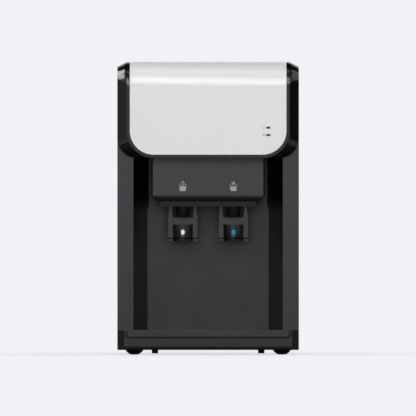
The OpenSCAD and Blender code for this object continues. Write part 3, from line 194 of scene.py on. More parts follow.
@dataclass(frozen=True)
class Finish:
    """One finish: what the material is, how its surface was made, and how it meets light.

    The shade is the colour's dark end. The pattern is size_mm across and relief_mm deep.
    """

    name: str
    pattern: Pattern
    colour: str
    shade: str
    roughness: float
    size_mm: float
    relief_mm: float = 0.0
    metallic: float = 0.0
    ior: float = 1.5
    specular: float = 0.5
    coat: float = 0.0

    def material(self) -> bpy.types.Material:
        """Return the finish as a Blender material, made once.

        Returns:
            The material.
        """
        found = bpy.data.materials.get(self.name)
        return found if found else self._build()

    def _build(self) -> bpy.types.Material:
        """Make the material's nodes.

        Returns:
            The new material.
        """
        made = bpy.data.materials.new(self.name)
        tree = empty_tree(made)
        place = add_node(tree, "ShaderNodeTexCoord").outputs["Object"]
        height = self._height(tree, place)
        drift = add_node(
            tree,
            "ShaderNodeTexNoise",
            values={"Scale": per_metre(DRIFT_MM), "Detail": DRIFT_DETAIL},
            links={"Vector": place},
        )
        mixed = add_node(
            tree,
            "ShaderNodeMath",
            {"operation": "MULTIPLY_ADD"},
            {1: PATTERN_SHARE},
            {0: height, 2: drift.outputs["Fac"]},
        )
        share = add_node(
            tree,
            "ShaderNodeMapRange",
            values={"From Min": SHADE_AT, "From Max": COLOUR_AT},
            links={"Value": mixed.outputs[0]},
        )
        colour = add_node(
            tree,
            "ShaderNodeMix",
            {"data_type": "RGBA"},
            {MIX_FIRST: srgb(self.shade), MIX_SECOND: srgb(self.colour)},
            {MIX_SHARE: share.outputs["Result"]},
        )
        spread = ROUGHNESS_DRIFT * self.roughness
        rough = add_node(
            tree,
            "ShaderNodeMapRange",
            values={"To Min": self.roughness + spread, "To Max": self.roughness - spread},
            links={"Value": share.outputs["Result"]},
        )
        surface = add_node(
            tree,
            "ShaderNodeBsdfPrincipled",
            values={
                "Metallic": self.metallic,
                "Coat Weight": self.coat,
                "Specular IOR Level": self.specular,
            },
            links={"Base Color": colour.outputs[MIX_RESULT], "Roughness": rough.outputs["Result"]},
        )
        if not self.metallic:
            surface.inputs["IOR"].default_value = self.ior
        if self.relief_mm:
            bump = add_node(
                tree,
                "ShaderNodeBump",
                values={"Strength": 1.0, "Distance": self.relief_mm * MM},
                links={"Height": height},
            )
            tree.links.new(bump.outputs["Normal"], surface.inputs["Normal"])
        add_node(tree, "ShaderNodeOutputMaterial", links={"Surface": surface.outputs["BSDF"]})
        return made

    def _height(self, tree: bpy.types.NodeTree, place: bpy.types.NodeSocket) -> bpy.types.NodeSocket:
        """Add the pattern's own texture.

        Args:
            tree: The node tree.
            place: The socket with the surface's place in metres.

        Returns:
            The socket with the pattern, from 0 to 1.
        """
        scale = per_metre(self.size_mm)
        if self.pattern in (Pattern.BEADS, Pattern.METALLIC_PAINT):
            cells = add_node(
                tree, "ShaderNodeTexVoronoi", values={"Scale": scale}, links={"Vector": place}
            )
            if self.pattern is Pattern.BEADS:
                return cells.outputs["Distance"]
            flakes = add_node(tree, "ShaderNodeSeparateColor", links={0: cells.outputs["Color"]})
            return flakes.outputs[0]
        if self.pattern is Pattern.WINDINGS:
            turns = add_node(
                tree,
                "ShaderNodeTexWave",
                {"bands_direction": "Z"},
                {"Scale": scale / (2 * math.pi), "Distortion": TURN_WANDER},
                {"Vector": place},
            )
            return turns.outputs["Fac"]
        if self.pattern is Pattern.ETCHED:
            tracks = add_node(
                tree,
                "ShaderNodeTexBrick",
                values={"Scale": scale, "Mortar Size": TRACK_GAP},
                links={"Vector": place},
            )
            return tracks.outputs["Fac"]
        scaled = add_node(
            tree,
            "ShaderNodeMapping",
            values={"Scale": GRAIN_SCALE.get(self.pattern, EVEN_SCALE)},
            links={"Vector": place},
        )
        grain = add_node(
            tree,
            "ShaderNodeTexNoise",
            values={"Scale": scale, "Detail": GRAIN_DETAIL.get(self.pattern, PLAIN_DETAIL)},
            links={"Vector": scaled.outputs["Vector"]},
        )
        return grain.outputs["Fac"]


# Charcoal ABS from a spark-eroded tool: soft satin with a fine grain. The real grain is 0.2 mm wide, too
# fine to show, so it is drawn four times as coarse.
CHARCOAL_ABS = Finish(
    "charcoal_abs_spark_grain", Pattern.SPARK_GRAIN, "#323233", "#2b2b2c", 0.42, 0.8, 0.006, specular=0.28
)
# The same ABS on the tap housing, from a finer tool: deeper in colour, with a clearer sheen.
HOUSING_ABS = Finish(
    "housing_abs_fine_grain", Pattern.SPARK_GRAIN, "#1e1e1f", "#191919", 0.4, 0.8, 0.005, specular=0.52
)
# The same ABS on the splash back, a trace darker: painted shade of the alcove it stands in.
SPLASH_ABS = Finish(
    "splash_abs_spark_grain", Pattern.SPARK_GRAIN, "#303031", "#29292a", 0.42, 0.8, 0.006, specular=0.28
)
# The same ABS on the base, wiped often and so smoother: a sheen that is deep at its turned corners.
BASE_ABS = Finish(
    "base_abs_smooth_satin", Pattern.SPARK_GRAIN, "#202021", "#1a1a1b", 0.3, 0.8, 0.003, specular=0.5
)
# Black ABS of the tap carrier under the housing, moulded matt: its dark tone is partly painted shade from
# the housing above it.
CARRIER_ABS = Finish(
    "carrier_abs_matt_painted_shade", Pattern.SPARK_GRAIN, "#161617", "#101011", 0.5, 0.8, 0.006, specular=0.2
)
# Black ABS from a polished tool: deep gloss, with the faint waves of a moulded skin.
GLOSS_ABS = Finish("gloss_black_abs_polished", Pattern.POLISHED, "#080808", "#050505", 0.16, 9.0, 0.001)
# The same ABS on the alcove's cheeks, a little duller, its reflection weakened as painted shade of the
# alcove.
CHEEK_ABS_PAINTED_SHADE = Finish(
    "cheek_abs_polished_painted_shade", Pattern.POLISHED, "#0a0a0a", "#070707", 0.17, 9.0, 0.001, specular=0.38
)
# ABS sprayed with silver paint: bright satin, with flakes that are drawn coarser than the real 0.05 mm.
SILVER_PAINT = Finish(
    "silver_paint_on_abs", Pattern.METALLIC_PAINT, "#d9d9d8", "#d3d3d2", 0.27, 0.6, coat=0.15
)
# Black acetal of the levers, worn smoother than the housing by cups: a clear satin sheen.
LEVER_ACETAL = Finish(
    "lever_acetal_satin", Pattern.SPARK_GRAIN, "#141415", "#0f0f10", 0.2, 1.2, 0.003, specular=0.62
)
# Black acetal of the nozzles, moulded matt, its reflection weakened as painted shade under the housing.
NOZZLE_ACETAL = Finish(
    "nozzle_acetal_matt_painted_shade", Pattern.SPARK_GRAIN, "#101011", "#0b0b0c", 0.55, 0.8, 0.006, specular=0.12
)
# White ABS of the left lever's mark, polished: clean and bright.
WHITE_INSERT = Finish("white_abs_polished", Pattern.POLISHED, "#f4f4f2", "#ececea", 0.2, 4.0)
# Blue ABS of the right lever's mark, polished: a full, even blue.
BLUE_INSERT = Finish("blue_abs_polished", Pattern.POLISHED, "#0292c8", "#0282b6", 0.2, 4.0, specular=0.2)
# Tinted acrylic of the unlit lenses, polished: dark, deep red and green.
RED_ACRYLIC = Finish(
    "red_acrylic_polished", Pattern.POLISHED, "#640202", "#500101", 0.1, 2.0, ior=1.49, specular=0.1
)
GREEN_ACRYLIC = Finish(
    "green_acrylic_polished", Pattern.POLISHED, "#0a5a01", "#084801", 0.1, 2.0, ior=1.49, specular=0.1
)
# Nitrile rubber of the feet and seals: matt black with a dusty bloom.
RUBBER = Finish(
    "nitrile_rubber_moulded", Pattern.SPARK_GRAIN, "#141415", "#0e0e0f", 0.75, 1.5, 0.02, ior=1.52
)
# A thin band stretched round a lever's foot, dull and near black: a painted shadow line over its groove,
# the blackest line on the front.
SHADOW_LINE_BAND = Finish(
    name="shadow_line_band_painted",
    pattern=Pattern.SPARK_GRAIN,
    colour="#040404",
    shade="#030303",
    roughness=0.6,
    size_mm=0.8,
    relief_mm=0.004,
    ior=1.52,
    specular=0.05,
)
# Natural polyethylene of the fittings and hoses, straight from the tool: milky, with a waxy sheen.
POLYETHYLENE = Finish(
    "natural_polyethylene_moulded", Pattern.POLISHED, "#e2e3df", "#d6d7d2", 0.38, 6.0, 0.01
)
# Stainless sheet, brushed along its depth: fine lines, drawn coarser than the real 0.1 mm.
STAINLESS = Finish(
    "stainless_sheet_brushed", Pattern.BRUSHED, "#c3c5c7", "#a9abad", 0.32, 0.8, 0.004, metallic=1.0
)
# Steel of the springs, pins and screws, drawn bright.
SPRING_STEEL = Finish(
    "spring_steel_drawn", Pattern.DRAWN, "#c9cacc", "#aeb0b2", 0.25, 0.6, 0.002, metallic=1.0
)
# Black baked enamel on the condenser and compressor: satin with a slight orange peel.
ENAMEL = Finish("black_enamel_baked", Pattern.ENAMEL, "#191a1b", "#121213", 0.34, 3.0, 0.02, ior=1.52)
# Copper tube, drawn and a little tarnished: warm, with soft lines along it.
COPPER = Finish("copper_tube_drawn", Pattern.DRAWN, "#c98761", "#a4633f", 0.34, 2.5, 0.004, metallic=1.0)
# Lacquered motor windings over laminated iron: brown, ridged by the turns of wire.
WINDINGS = Finish("motor_windings_lacquered", Pattern.WINDINGS, "#8a4a22", "#5a2f16", 0.45, 1.2, 0.1)
# Expanded polystyrene jacket: white beads pressed together.
POLYSTYRENE = Finish("expanded_polystyrene_beads", Pattern.BEADS, "#f6f6f3", "#e2e2dd", 0.8, 4.0, 0.15)
# Solder-masked board with etched tracks: green with a fine grid.
BOARD = Finish("circuit_board_masked", Pattern.ETCHED, "#2f6a3c", "#1f4b2a", 0.4, 3.0, 0.03)
# Pad-printed inks of the signs, flat and dull: pale on the housing, grey on the fascia.
PALE_INK = Finish("pale_ink_pad_printed", Pattern.PRINTED, "#a0a0a3", "#919194", 0.5, 0.8)
GREY_INK = Finish("grey_ink_pad_printed", Pattern.PRINTED, "#8f9092", "#808183", 0.5, 0.8)

Finishes = dict[Finish, tuple[str, ...]]
Rounding = dict[float, tuple[str, ...]]


def link_object(name: str, data: bpy.types.ID) -> bpy.types.Object:
    """Make an object and put it in the scene.

    Args:
        name: The object's name.
        data: Its mesh, light or camera.

    Returns:
        The new object.
    """
    made = bpy.data.objects.new(name, data)
    bpy.context.scene.collection.objects.link(made)
    return made


def link_mesh(name: str, shape: bmesh.types.BMesh, material: bpy.types.Material) -> bpy.types.Object:
    """Turn a finished shape into an object in the scene.

    Args:
        name: The object's name.
        shape: Its mesh, freed here.
        material: Its material.

    Returns:
        The new object.
    """
    mesh = bpy.data.meshes.new(name)
    shape.to_mesh(mesh)
    shape.free()
    mesh.materials.append(material)
    return link_object(name, mesh)


def new_piece(name: str, shape: bmesh.types.BMesh, finish: Finish, body: str) -> bpy.types.Object:
    """Turn a finished shape into a piece that rides on a CAD body.

    Args:
        name: The piece's name.
        shape: Its mesh, in the row frame, freed here.
        finish: Its finish.
        body: The CAD body it moves with.

    Returns:
        The new object.
    """
    bmesh.ops.recalc_face_normals(shape, faces=shape.faces)
    made = link_mesh(name, shape, finish.material())
    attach(made, body)
    LOG.info("%s: %d faces, %s, rides on %s", name, len(made.data.polygons), finish.name, body)
    return made


def both(name: str) -> tuple[str, ...]:
    """Names of the left and the right one of a pair of nodes."""
    return tuple(f"{name}_{side}" for side in SIDES)


def arc(centre: Point, radius: float, start: float, stop: float, count: int) -> list[Point]:
    """Points along an arc.

    Args:
        centre: The arc's centre.
        radius: Its radius.
        start: The first angle in degrees.
        stop: The last angle in degrees.
        count: How many points.

    Returns:
        The points, both ends included.
    """
    turns = [math.radians(start + (stop - start) * i / (count - 1)) for i in range(count)]
    return [(centre[0] + radius * math.cos(t), centre[1] + radius * math.sin(t)) for t in turns]


def circle(radius: float, count: int) -> list[Point]:
    """Points evenly round a circle about the origin."""
    return arc((0.0, 0.0), radius, 0.0, TURN_DEG, count + 1)[:-1]


def skin(shape: bmesh.types.BMesh, rings: Sequence[Ring], smooth: bool = False) -> None:
    """Join each ring of corners to the next with four-sided faces.

    Args:
        shape: The mesh.
        rings: Closed rings, all of as many corners.
        smooth: Whether the faces are shaded as one round surface.
    """
    for near, far in zip(rings, rings[1:]):
        for i in range(len(near)):
            shape.faces.new((near[i - 1], near[i], far[i], far[i - 1])).smooth = smooth


def ring_edges(shape: bmesh.types.BMesh, ring: Ring) -> list[bmesh.types.BMEdge]:
    """The edges that join a closed ring's corners."""
    return [shape.edges.get((ring[i - 1], ring[i])) for i in range(len(ring))]


def outline_at(node: str, height: float) -> list[Point]:
    """Outline of a CAD node's section at a height.

    Args:
        node: The node's name.
        height: The height of the cut.

    Returns:
        The outline's corners in order, anticlockwise from above.
    """
    shape = bmesh.new()
    shape.from_mesh(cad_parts[node].data)
    bmesh.ops.remove_doubles(shape, verts=shape.verts, dist=WELD)
    whole = shape.verts[:] + shape.edges[:] + shape.faces[:]
    cut = bmesh.ops.bisect_plane(shape, geom=whole, plane_co=(0, 0, height), plane_no=(0, 0, 1))
    edges = {e for e in cut["geom_cut"] if isinstance(e, bmesh.types.BMEdge)}
    step = min(edges, key=lambda e: e.verts[0].co.to_tuple(ORDER_DIGITS))
    at = step.verts[0]
    line = []
    while edges:
        edges.remove(step)
        line.append((at.co.x, at.co.y))
        at = step.other_vert(at)
        onward = [e for e in at.link_edges if e in edges]
        if not onward:
            break
        step = onward[0]
    shape.free()
    area = sum(a[0] * b[1] - b[0] * a[1] for a, b in zip(line, line[1:] + line[:1]))
    return line if area > 0 else line[::-1]


def turns_left(a: Point, b: Point, c: Point) -> bool:
    """Whether a path from a through b to c turns left at b."""
    return (Vector(b) - Vector(a)).cross(Vector(c) - Vector(b)) > 0


def stretched(line: Sequence[Point]) -> list[Point]:
    """The line that a band takes when it is stretched round an outline.

    Args:
        line: The outline's corners.

    Returns:
        The corners that the band bears on, anticlockwise.
    """
    taut: list[Point] = []
    for points in (sorted(line), sorted(line, reverse=True)):
        chain: list[Point] = []
        for point in points:
            while len(chain) > 1 and not turns_left(chain[-2], chain[-1], point):
                chain.pop()
            chain.append(point)
        taut += chain[:-1]
    return taut


def grown(line: Sequence[Point], by: float) -> list[Point]:
    """A closed anticlockwise outline moved outwards.

    Args:
        line: The outline's corners.
        by: How far each side moves.

    Returns:
        The corners of the larger outline, without those on a straight side.
    """
    moved = []
    for i, here in enumerate(line):
        point = Vector(here)
        arrive = (point - Vector(line[i - 1])).normalized()
        leave = (Vector(line[(i + 1) % len(line)]) - point).normalized()
        if arrive.dot(leave) > STRAIGHT:
            continue
        outward = Vector((arrive.y + leave.y, -arrive.x - leave.x))
        corner = point + outward * by / (1 + arrive.dot(leave))
        moved.append((corner.x, corner.y))
    return moved


@dataclass
class SubAssembly:
    """CAD nodes that do one job, with the finish and the edge rounding of each.

    rounded_mm gives nodes by the width of their edges' rounding, and the others keep their edges.
    """

    finishes: Finishes = field(default_factory=dict)
    rounded_mm: Rounding = field(default_factory=dict)
    rounding_steps: int = 3
    flat_deg: float = 0.4
    sharp_deg: float = 28.0

    def dress(self) -> None:
        """Give every node its finish and soften its edges."""
        for finish, nodes in self.finishes.items():
            for name in nodes:
                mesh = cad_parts[name].data
                mesh.materials.clear()
                mesh.materials.append(finish.material())
                LOG.info("%s: CAD node, %s", name, finish.name)
        for width_mm, nodes in self.rounded_mm.items():
            for name in nodes:
                self._soften(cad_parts[name], width_mm)

    def _soften(self, cad: bpy.types.Object, width_mm: float) -> None:
        """Round a node's sharp edges as a moulding's are.

        Args:
            cad: The node's object.
            width_mm: The width of the rounding.
        """
        weld = cad.modifiers.new("weld", "WELD")
        weld.merge_threshold = WELD
        flat = cad.modifiers.new("flat", "DECIMATE")
        flat.decimate_type = "DISSOLVE"
        flat.angle_limit = math.radians(self.flat_deg)
        bevel = cad.modifiers.new("edge", "BEVEL")
        bevel.width = width_mm * MM
        bevel.segments = self.rounding_steps
        bevel.limit_method = "ANGLE"
        bevel.angle_limit = math.radians(self.sharp_deg)
        bevel.harden_normals = True
        LOG.debug("%s: edges rounded by %.2f mm", cad.name, width_mm)


@dataclass
class PrintedMark:
    """A film of ink on a front face, made of filled outlines and of bands between two lines."""

    name: str
    origin: Vector
    finish: Finish
    film: float = 0.06 * MM
    body: str = "cabinet"
    flake_arms: int = 6
    twig_share: float = 0.3
    twig_at: float = 0.52
    outlines: list[list[Point]] = field(default_factory=list)
    bands: list[tuple[list[Point], list[Point]]] = field(default_factory=list)

    def area(self, outline: list[Point]) -> None:
        """Add a filled outline, in metres from the mark's origin."""
        self.outlines.append(outline)

    def band(self, outer: list[Point], inner: list[Point]) -> None:
        """Add the band between two lines of as many points."""
        self.bands.append((outer, inner))

    def snowflake(self, centre: Point, radius: float, width: float) -> None:
        """Add a snowflake, with a pair of twigs on each arm, as one outline.

        Args:
            centre: Its centre, in metres from the mark's origin.
            radius: The length of an arm.
            width: The width of its strokes.
        """
        half = width / 2
        half_turn = math.pi / self.flake_arms
        twig = self.twig_share * radius
        low = self.twig_at * radius
        high = low + width
        right = [(half / math.tan(half_turn), -half), (low, -half), (low + twig, -half - twig)]
        right += [(high + twig, -half - twig), (high, -half), (radius, -half)]
        arm = right + [(x, -y) for x, y in reversed(right)]
        outline = []
        for i in range(self.flake_arms):
            turn = Matrix.Rotation(half_turn * (2 * i + 1), 2)
            points = [Vector(centre) + turn @ Vector(p) for p in arm[:-1]]
            outline += [(p.x, p.y) for p in points]
        self.area(outline)

    def build(self) -> bpy.types.Object:
        """Make the mark as one closed piece, half sunk in the face behind it.

        Returns:
            The new object.
        """
        shape = bmesh.new()
        back = self.origin + Vector((0, self.film / 2, 0))
        for outline in self.outlines:
            shape.faces.new([shape.verts.new(back + Vector((x, 0, z))) for x, z in outline])
        for lines in self.bands:
            outer, inner = ([shape.verts.new(back + Vector((x, 0, z))) for x, z in line] for line in lines)
            for i in range(len(outer) - 1):
                shape.faces.new((outer[i], outer[i + 1], inner[i + 1], inner[i]))
        bmesh.ops.remove_doubles(shape, verts=shape.verts, dist=WELD)
        raised = bmesh.ops.extrude_face_region(shape, geom=list(shape.faces), use_keep_orig=True)
        moved = [v for v in raised["geom"] if isinstance(v, bmesh.types.BMVert)]
        bmesh.ops.translate(shape, verts=moved, vec=(0, -self.film, 0))
        return new_piece(self.name, shape, self.finish, self.body)


@dataclass
class Cabinet(SubAssembly):
    """Base, sides, alcove and top."""

    finishes: Finishes = field(
        default_factory=lambda: {
            BASE_ABS: ("base_moulding",),
            CHARCOAL_ABS: (*both("side_panel"), "top_cover", "rear_panel", "wall_spacers"),
            SPLASH_ABS: ("splash_back",),
            CHEEK_ABS_PAINTED_SHADE: both("cheek"),
            RUBBER: ("front_feet", "rear_feet"),
        }
    )
    rounded_mm: Rounding = field(
        default_factory=lambda: {
            0.8: ("base_moulding",),
            0.6: (*both("side_panel"), "top_cover", "wall_spacers"),
            0.5: ("rear_panel",),
            0.4: ("front_feet", "rear_feet"),
        }
    )
    # The rear panel's screws, with heads domed up to an angle and a recess that narrows with depth.
    screw_r: float = 3.4 * MM
    screw_h: float = 1.9 * MM
    screw_inset: float = 7.0 * MM
    screw_dome_deg: float = 62.0
    screw_rings: int = 6
    screw_sides: int = 24
    recess_w: float = 1.1 * MM
    recess_d: float = 1.2 * MM
    recess_reach: float = 1.35 * MM
    recess_draft: float = 0.8

    def screws(self) -> None:
        """Add the pan-head screws that hold the rear panel."""
        low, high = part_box("rear_panel")
        rows = (low.z + self.screw_inset, (low.z + high.z) / 2, high.z - self.screw_inset)
        for i, z in enumerate(rows):
            for side, way in zip(SIDES, (-1, 1)):
                seat = Vector((way * (high.x - self.screw_inset), high.y, z))
                self._screw(f"panel_screw_{side}_{i + 1}", seat)

    def _screw(self, name: str, seat: Vector) -> None:
        """Add one pan-head screw with a cross recess, facing +Y.

        Args:
            name: The piece's name.
            seat: The middle of its head's underside.
        """
        shape = bmesh.new()
        dome = math.radians(self.screw_dome_deg)
        rings = []
        for k in range(self.screw_rings):
            lift = dome * k / (self.screw_rings - 1)
            y = self.screw_h * math.sin(lift) / math.sin(dome)
            plan = circle(self.screw_r * math.cos(lift), self.screw_sides)
            rings.append([shape.verts.new(seat + Vector((x, y, z))) for x, z in plan])
        skin(shape, rings)
        shape.faces.new(rings[0])
        self._cross(shape, rings[-1], seat)
        new_piece(name, shape, SPRING_STEEL, "cabinet")

    def _cross(self, shape: bmesh.types.BMesh, rim: Ring, seat: Vector) -> None:
        """Close a screw's top with a sunk cross.

        Args:
            shape: The screw's mesh.
            rim: The top ring of its head.
            seat: The middle of its head's underside.
        """
        w, reach = self.recess_w / 2, self.recess_reach
        plan = [(reach, w), (w, w), (w, reach), (-w, reach), (-w, w), (-reach, w)]
        plan += [(-x, -z) for x, z in plan]
        rings = []
        for depth, share in ((0.0, 1.0), (self.recess_d, self.recess_draft)):
            y = self.screw_h - depth
            rings.append([shape.verts.new(seat + Vector((share * x, y, share * z))) for x, z in plan])
        skin(shape, rings)
        shape.faces.new(rings[1])
        edges = ring_edges(shape, rim) + ring_edges(shape, rings[0])
        bmesh.ops.triangle_fill(shape, edges=edges, use_beauty=True)


@dataclass
class DripTray(SubAssembly):
    """The tray that slides out and the grille that lifts off it."""

    finishes: Finishes = field(default_factory=lambda: {CHARCOAL_ABS: ("drip_tray", "drip_grille")})
    rounded_mm: Rounding = field(
        default_factory=lambda: {0.6: ("drip_tray",), 0.4: ("drip_grille",)}
    )


@dataclass
class Head(SubAssembly):
    """The bevelled head, its silver fascia and the indicators."""

    finishes: Finishes = field(
        default_factory=lambda: {
            GLOSS_ABS: ("head_bezel",),
            SILVER_PAINT: ("fascia_panel",),
            BOARD: ("indicator_board",),
        }
    )
    rounded_mm: Rounding = field(
        default_factory=lambda: {0.6: ("head_bezel",), 0.5: ("fascia_panel",), 0.2: ("indicator_board",)}
    )
    # The lenses: how far the rim laps the fascia, and the crown, which rises in two steps.
    rim_side: float = 0.15 * MM
    rim_top: float = 0.45 * MM
    rim_t: float = 0.25 * MM
    crown: float = 0.2 * MM
    crown_turn: float = 0.6
    lens_corner: float = 0.5 * MM
    corner_points: int = 7
    # The signs beside them. The power sign's bar and the snowflake are shares of the radius.
    mark_gap: float = 4.2 * MM
    mark_r: float = 2.1 * MM
    stroke: float = 0.55 * MM
    flake_share: float = 1.1
    power_gap_deg: float = 35.0
    power_points: int = 25
    power_bar: Point = (0.2, 1.25)

    def lenses(self) -> None:
        """Set a crowned lens, whose rim laps the fascia, in place of each plain one."""
        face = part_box("fascia_panel")[0].y
        front = face - self.rim_t
        for node, finish, slot in (
            ("power_lens", RED_ACRYLIC, "red_lens"),
            ("cooling_lens", GREEN_ACRYLIC, "green_lens"),
        ):
            low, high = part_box(node)
            middle, half = (low + high) / 2, (high - low) / 2
            shape = bmesh.new()
            rings = []
            # Each ring has its place from back to front, the rim or not, and how far it is drawn in.
            for y, rim, inset in (
                (high.y, 0, 0.0),
                (face, 0, 0.0),
                (face, 1, 0.0),
                (front, 1, 0.0),
                (front - self.crown_turn * self.crown, 1, self.crown),
                (front - self.crown, 1, 2 * self.crown),
            ):
                half_w = half.x + rim * self.rim_side - inset
                half_h = half.z + rim * self.rim_top - inset
                plan = self._lens_plan(half_w, half_h)
                rings.append([shape.verts.new((middle.x + x, y, middle.z + z)) for x, z in plan])
            skin(shape, rings)
            shape.faces.new(rings[0])
            shape.faces.new(rings[-1])
            made = new_piece(f"{node}_crowned", shape, finish, "cabinet")
            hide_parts(node)

    def _lens_plan(self, half_w: float, half_h: float) -> list[Point]:
        """Outline of a lens with round corners.

        Args:
            half_w: Half its width.
            half_h: Half its height.

        Returns:
            The outline, anticlockwise from the front.
        """
        r = self.lens_corner
        x, z = half_w - r, half_h - r
        corners = ((x, z, 0), (-x, z, 90), (-x, -z, 180), (x, -z, 270))
        return [p for a, b, turn in corners for p in arc((a, b), r, turn, turn + 90, self.corner_points)]

    def marks(self) -> None:
        """Print a power sign and a snowflake beside the lenses."""
        power = self._mark_by("power_lens", "power_sign")
        start, stop = TOP_DEG + self.power_gap_deg, TOP_DEG + TURN_DEG - self.power_gap_deg
        radii = (self.mark_r, self.mark_r - self.stroke)
        power.band(*(arc((0, 0), r, start, stop, self.power_points) for r in radii))
        side = self.stroke / 2
        low, high = (share * self.mark_r for share in self.power_bar)
        power.area([(-side, low), (side, low), (side, high), (-side, high)])
        power.build()
        cold = self._mark_by("cooling_lens", "cooling_sign")
        cold.snowflake((0, 0), self.flake_share * self.mark_r, self.stroke)
        cold.build()

    def _mark_by(self, lens: str, name: str) -> PrintedMark:
        """Start a mark on the fascia, to the left of a lens.

        Args:
            lens: The lens node.
            name: The mark's piece name.

        Returns:
            The empty mark.
        """
        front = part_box("fascia_panel")[0].y
        low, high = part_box(lens)
        origin = Vector((low.x - self.mark_gap, front, (low.z + high.z) / 2))
        return PrintedMark(name, origin, GREY_INK)


@dataclass
class Coil:
    """A round wire or tube wound about a vertical axis."""

    name: str
    axis: Vector
    radius: float
    wire: float
    pitch: float
    turns: float
    start: float = 0.0
    hand: int = 1
    rings_per_turn: int = 40
    sides: int = 12

    def build(self, finish: Finish, body: str) -> bpy.types.Object:
        """Sweep the wire along its helix.

        Args:
            finish: The coil's finish.
            body: The CAD body it moves with.

        Returns:
            The new object.
        """
        shape = bmesh.new()
        section = circle(self.wire, self.sides)
        rings = []
        for i in range(int(self.rings_per_turn * self.turns) + 1):
            turn = i / self.rings_per_turn
            a = self.start + self.hand * 2 * math.pi * turn
            out = Vector((math.cos(a), math.sin(a), 0))
            along = Vector((-self.hand * math.sin(a), self.hand * math.cos(a), 0)) * self.radius
            along = (along + Vector((0, 0, self.pitch / (2 * math.pi)))).normalized()
            up = along.cross(out)
            middle = self.axis + out * self.radius + Vector((0, 0, self.pitch * turn))
            rings.append([shape.verts.new(middle + out * u + up * v) for u, v in section])
        skin(shape, rings, smooth=True)
        shape.faces.new(rings[0])
        shape.faces.new(rings[-1])
        return new_piece(self.name, shape, finish, body)


@dataclass
class Taps(SubAssembly):
    """The tap housing, the push levers and the valves they open."""

    finishes: Finishes = field(
        default_factory=lambda: {
            HOUSING_ABS: ("tap_housing",),
            CARRIER_ABS: ("tap_carrier",),
            LEVER_ACETAL: both("lever"),
            WHITE_INSERT: ("lever_mark_left",),
            BLUE_INSERT: ("lever_mark_right",),
            NOZZLE_ACETAL: both("nozzle"),
            POLYETHYLENE: both("valve_body") + both("plunger"),
            RUBBER: both("valve_seal"),
            SPRING_STEEL: ("lever_pins",),
        }
    )
    rounded_mm: Rounding = field(
        default_factory=lambda: {
            0.8: ("tap_housing",),
            0.5: ("tap_carrier", *both("lever"), *both("nozzle")),
            0.25: both("lever_mark"),
        }
    )
    # The signs over the taps.
    cup_w: float = 12.2 * MM
    cup_base_w: float = 9.4 * MM
    cup_h: float = 11.4 * MM
    cup_fill: float = 8.0 * MM
    cup_rise: float = 17.0 * MM
    stroke: float = 1.1 * MM
    drop_r: float = 2.9 * MM
    drop_h: float = 5.6 * MM
    drop_points: int = 33
    flake_r: float = 2.9 * MM
    flake_stroke: float = 0.8 * MM
    # The valve springs, and the share of their height that is left when a lever is fully pushed.
    spring_wire: float = 0.45 * MM
    spring_turns: int = 5
    spring_keep: float = 0.66
    # The bands round the levers' feet, which paint the shadow line of their grooves.
    band_rise: float = 4.5 * MM
    band_h: float = 2.0 * MM
    band_proud: float = 0.6 * MM
    band_t: float = 1.0 * MM

    def icons(self) -> None:
        """Print a cup with a drop over the left tap and a cup with a snowflake over the right."""
        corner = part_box("tap_housing")[0]
        for side in SIDES:
            low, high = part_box(f"nozzle_{side}")
            origin = Vector(((low.x + high.x) / 2, corner.y, corner.z + self.cup_rise))
            icon = PrintedMark(f"cup_icon_{side}", origin, PALE_INK)
            self._cup(icon)
            if side == "left":
                self._drop(icon, (0.0, self.cup_fill + self.stroke + self.drop_r))
            else:
                centre = (0.0, self.cup_fill + 2 * self.stroke + self.flake_r)
                icon.snowflake(centre, self.flake_r, self.flake_stroke)
            icon.build()

    def _cup(self, icon: PrintedMark) -> None:
        """Draw a cup that is filled most of the way, as one outline.

        Args:
            icon: The mark to draw on.
        """
        top, base = self.cup_w / 2, self.cup_base_w / 2
        lean = (top - base) / self.cup_h
        brim = base + lean * self.cup_fill - self.stroke
        right = [(base, 0.0), (top, self.cup_h), (top - self.stroke, self.cup_h), (brim, self.cup_fill)]
        icon.area(right + [(-x, z) for x, z in reversed(right)])

    def _drop(self, icon: PrintedMark, centre: Point) -> None:
        """Draw a drop with a clear middle.

        Args:
            icon: The mark to draw on.
            centre: The middle of the drop's round part.
        """
        lines = []
        for r in (self.drop_r, self.drop_r - self.stroke):
            rise = self.drop_h * r / self.drop_r
            meet = math.degrees(math.acos(r / rise))
            start, stop = TOP_DEG + meet, TOP_DEG + TURN_DEG - meet
            tip = (centre[0], centre[1] + rise)
            lines.append([tip] + arc(centre, r, start, stop, self.drop_points) + [tip])
        icon.band(*lines)

    def bands(self) -> None:
        """Stretch a band round each lever's foot, straight across its trough: a painted shadow line over
        the groove there.
        """
        for side in SIDES:
            lever = f"lever_{side}"
            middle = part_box(lever)[0].z + self.band_rise
            # The lever's section is taken below the groove that the band covers.
            taut = stretched(outline_at(lever, middle - self.band_h))
            outer, inner = grown(taut, self.band_proud), grown(taut, self.band_proud - self.band_t)
            shape = bmesh.new()
            rings = []
            for line, way in ((outer, -1), (outer, 1), (inner, 1), (inner, -1)):
                z = middle + way * self.band_h / 2
                rings.append([shape.verts.new((x, y, z)) for x, y in line])
            skin(shape, rings + rings[:1])
            # The band's near-black finish is painted shadow, the shade of the groove under it.
            new_piece(f"lever_band_{side}", shape, SHADOW_LINE_BAND, lever)

    def springs(self) -> None:
        """Wind a smooth spring in place of each faceted one."""
        wire = self.spring_wire
        for side in SIDES:
            node = f"valve_spring_{side}"
            low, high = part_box(node)
            axis = Vector(((low.x + high.x) / 2, (low.y + high.y) / 2, low.z + wire))
            coil = Coil(
                name=f"spring_{side}",
                axis=axis,
                radius=(high.x - low.x) / 2 - wire,
                wire=wire,
                pitch=(high.z - low.z - 2 * wire) / self.spring_turns,
                turns=self.spring_turns,
            )
            made = coil.build(SPRING_STEEL, "cabinet")
            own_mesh(made)
            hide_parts(node)


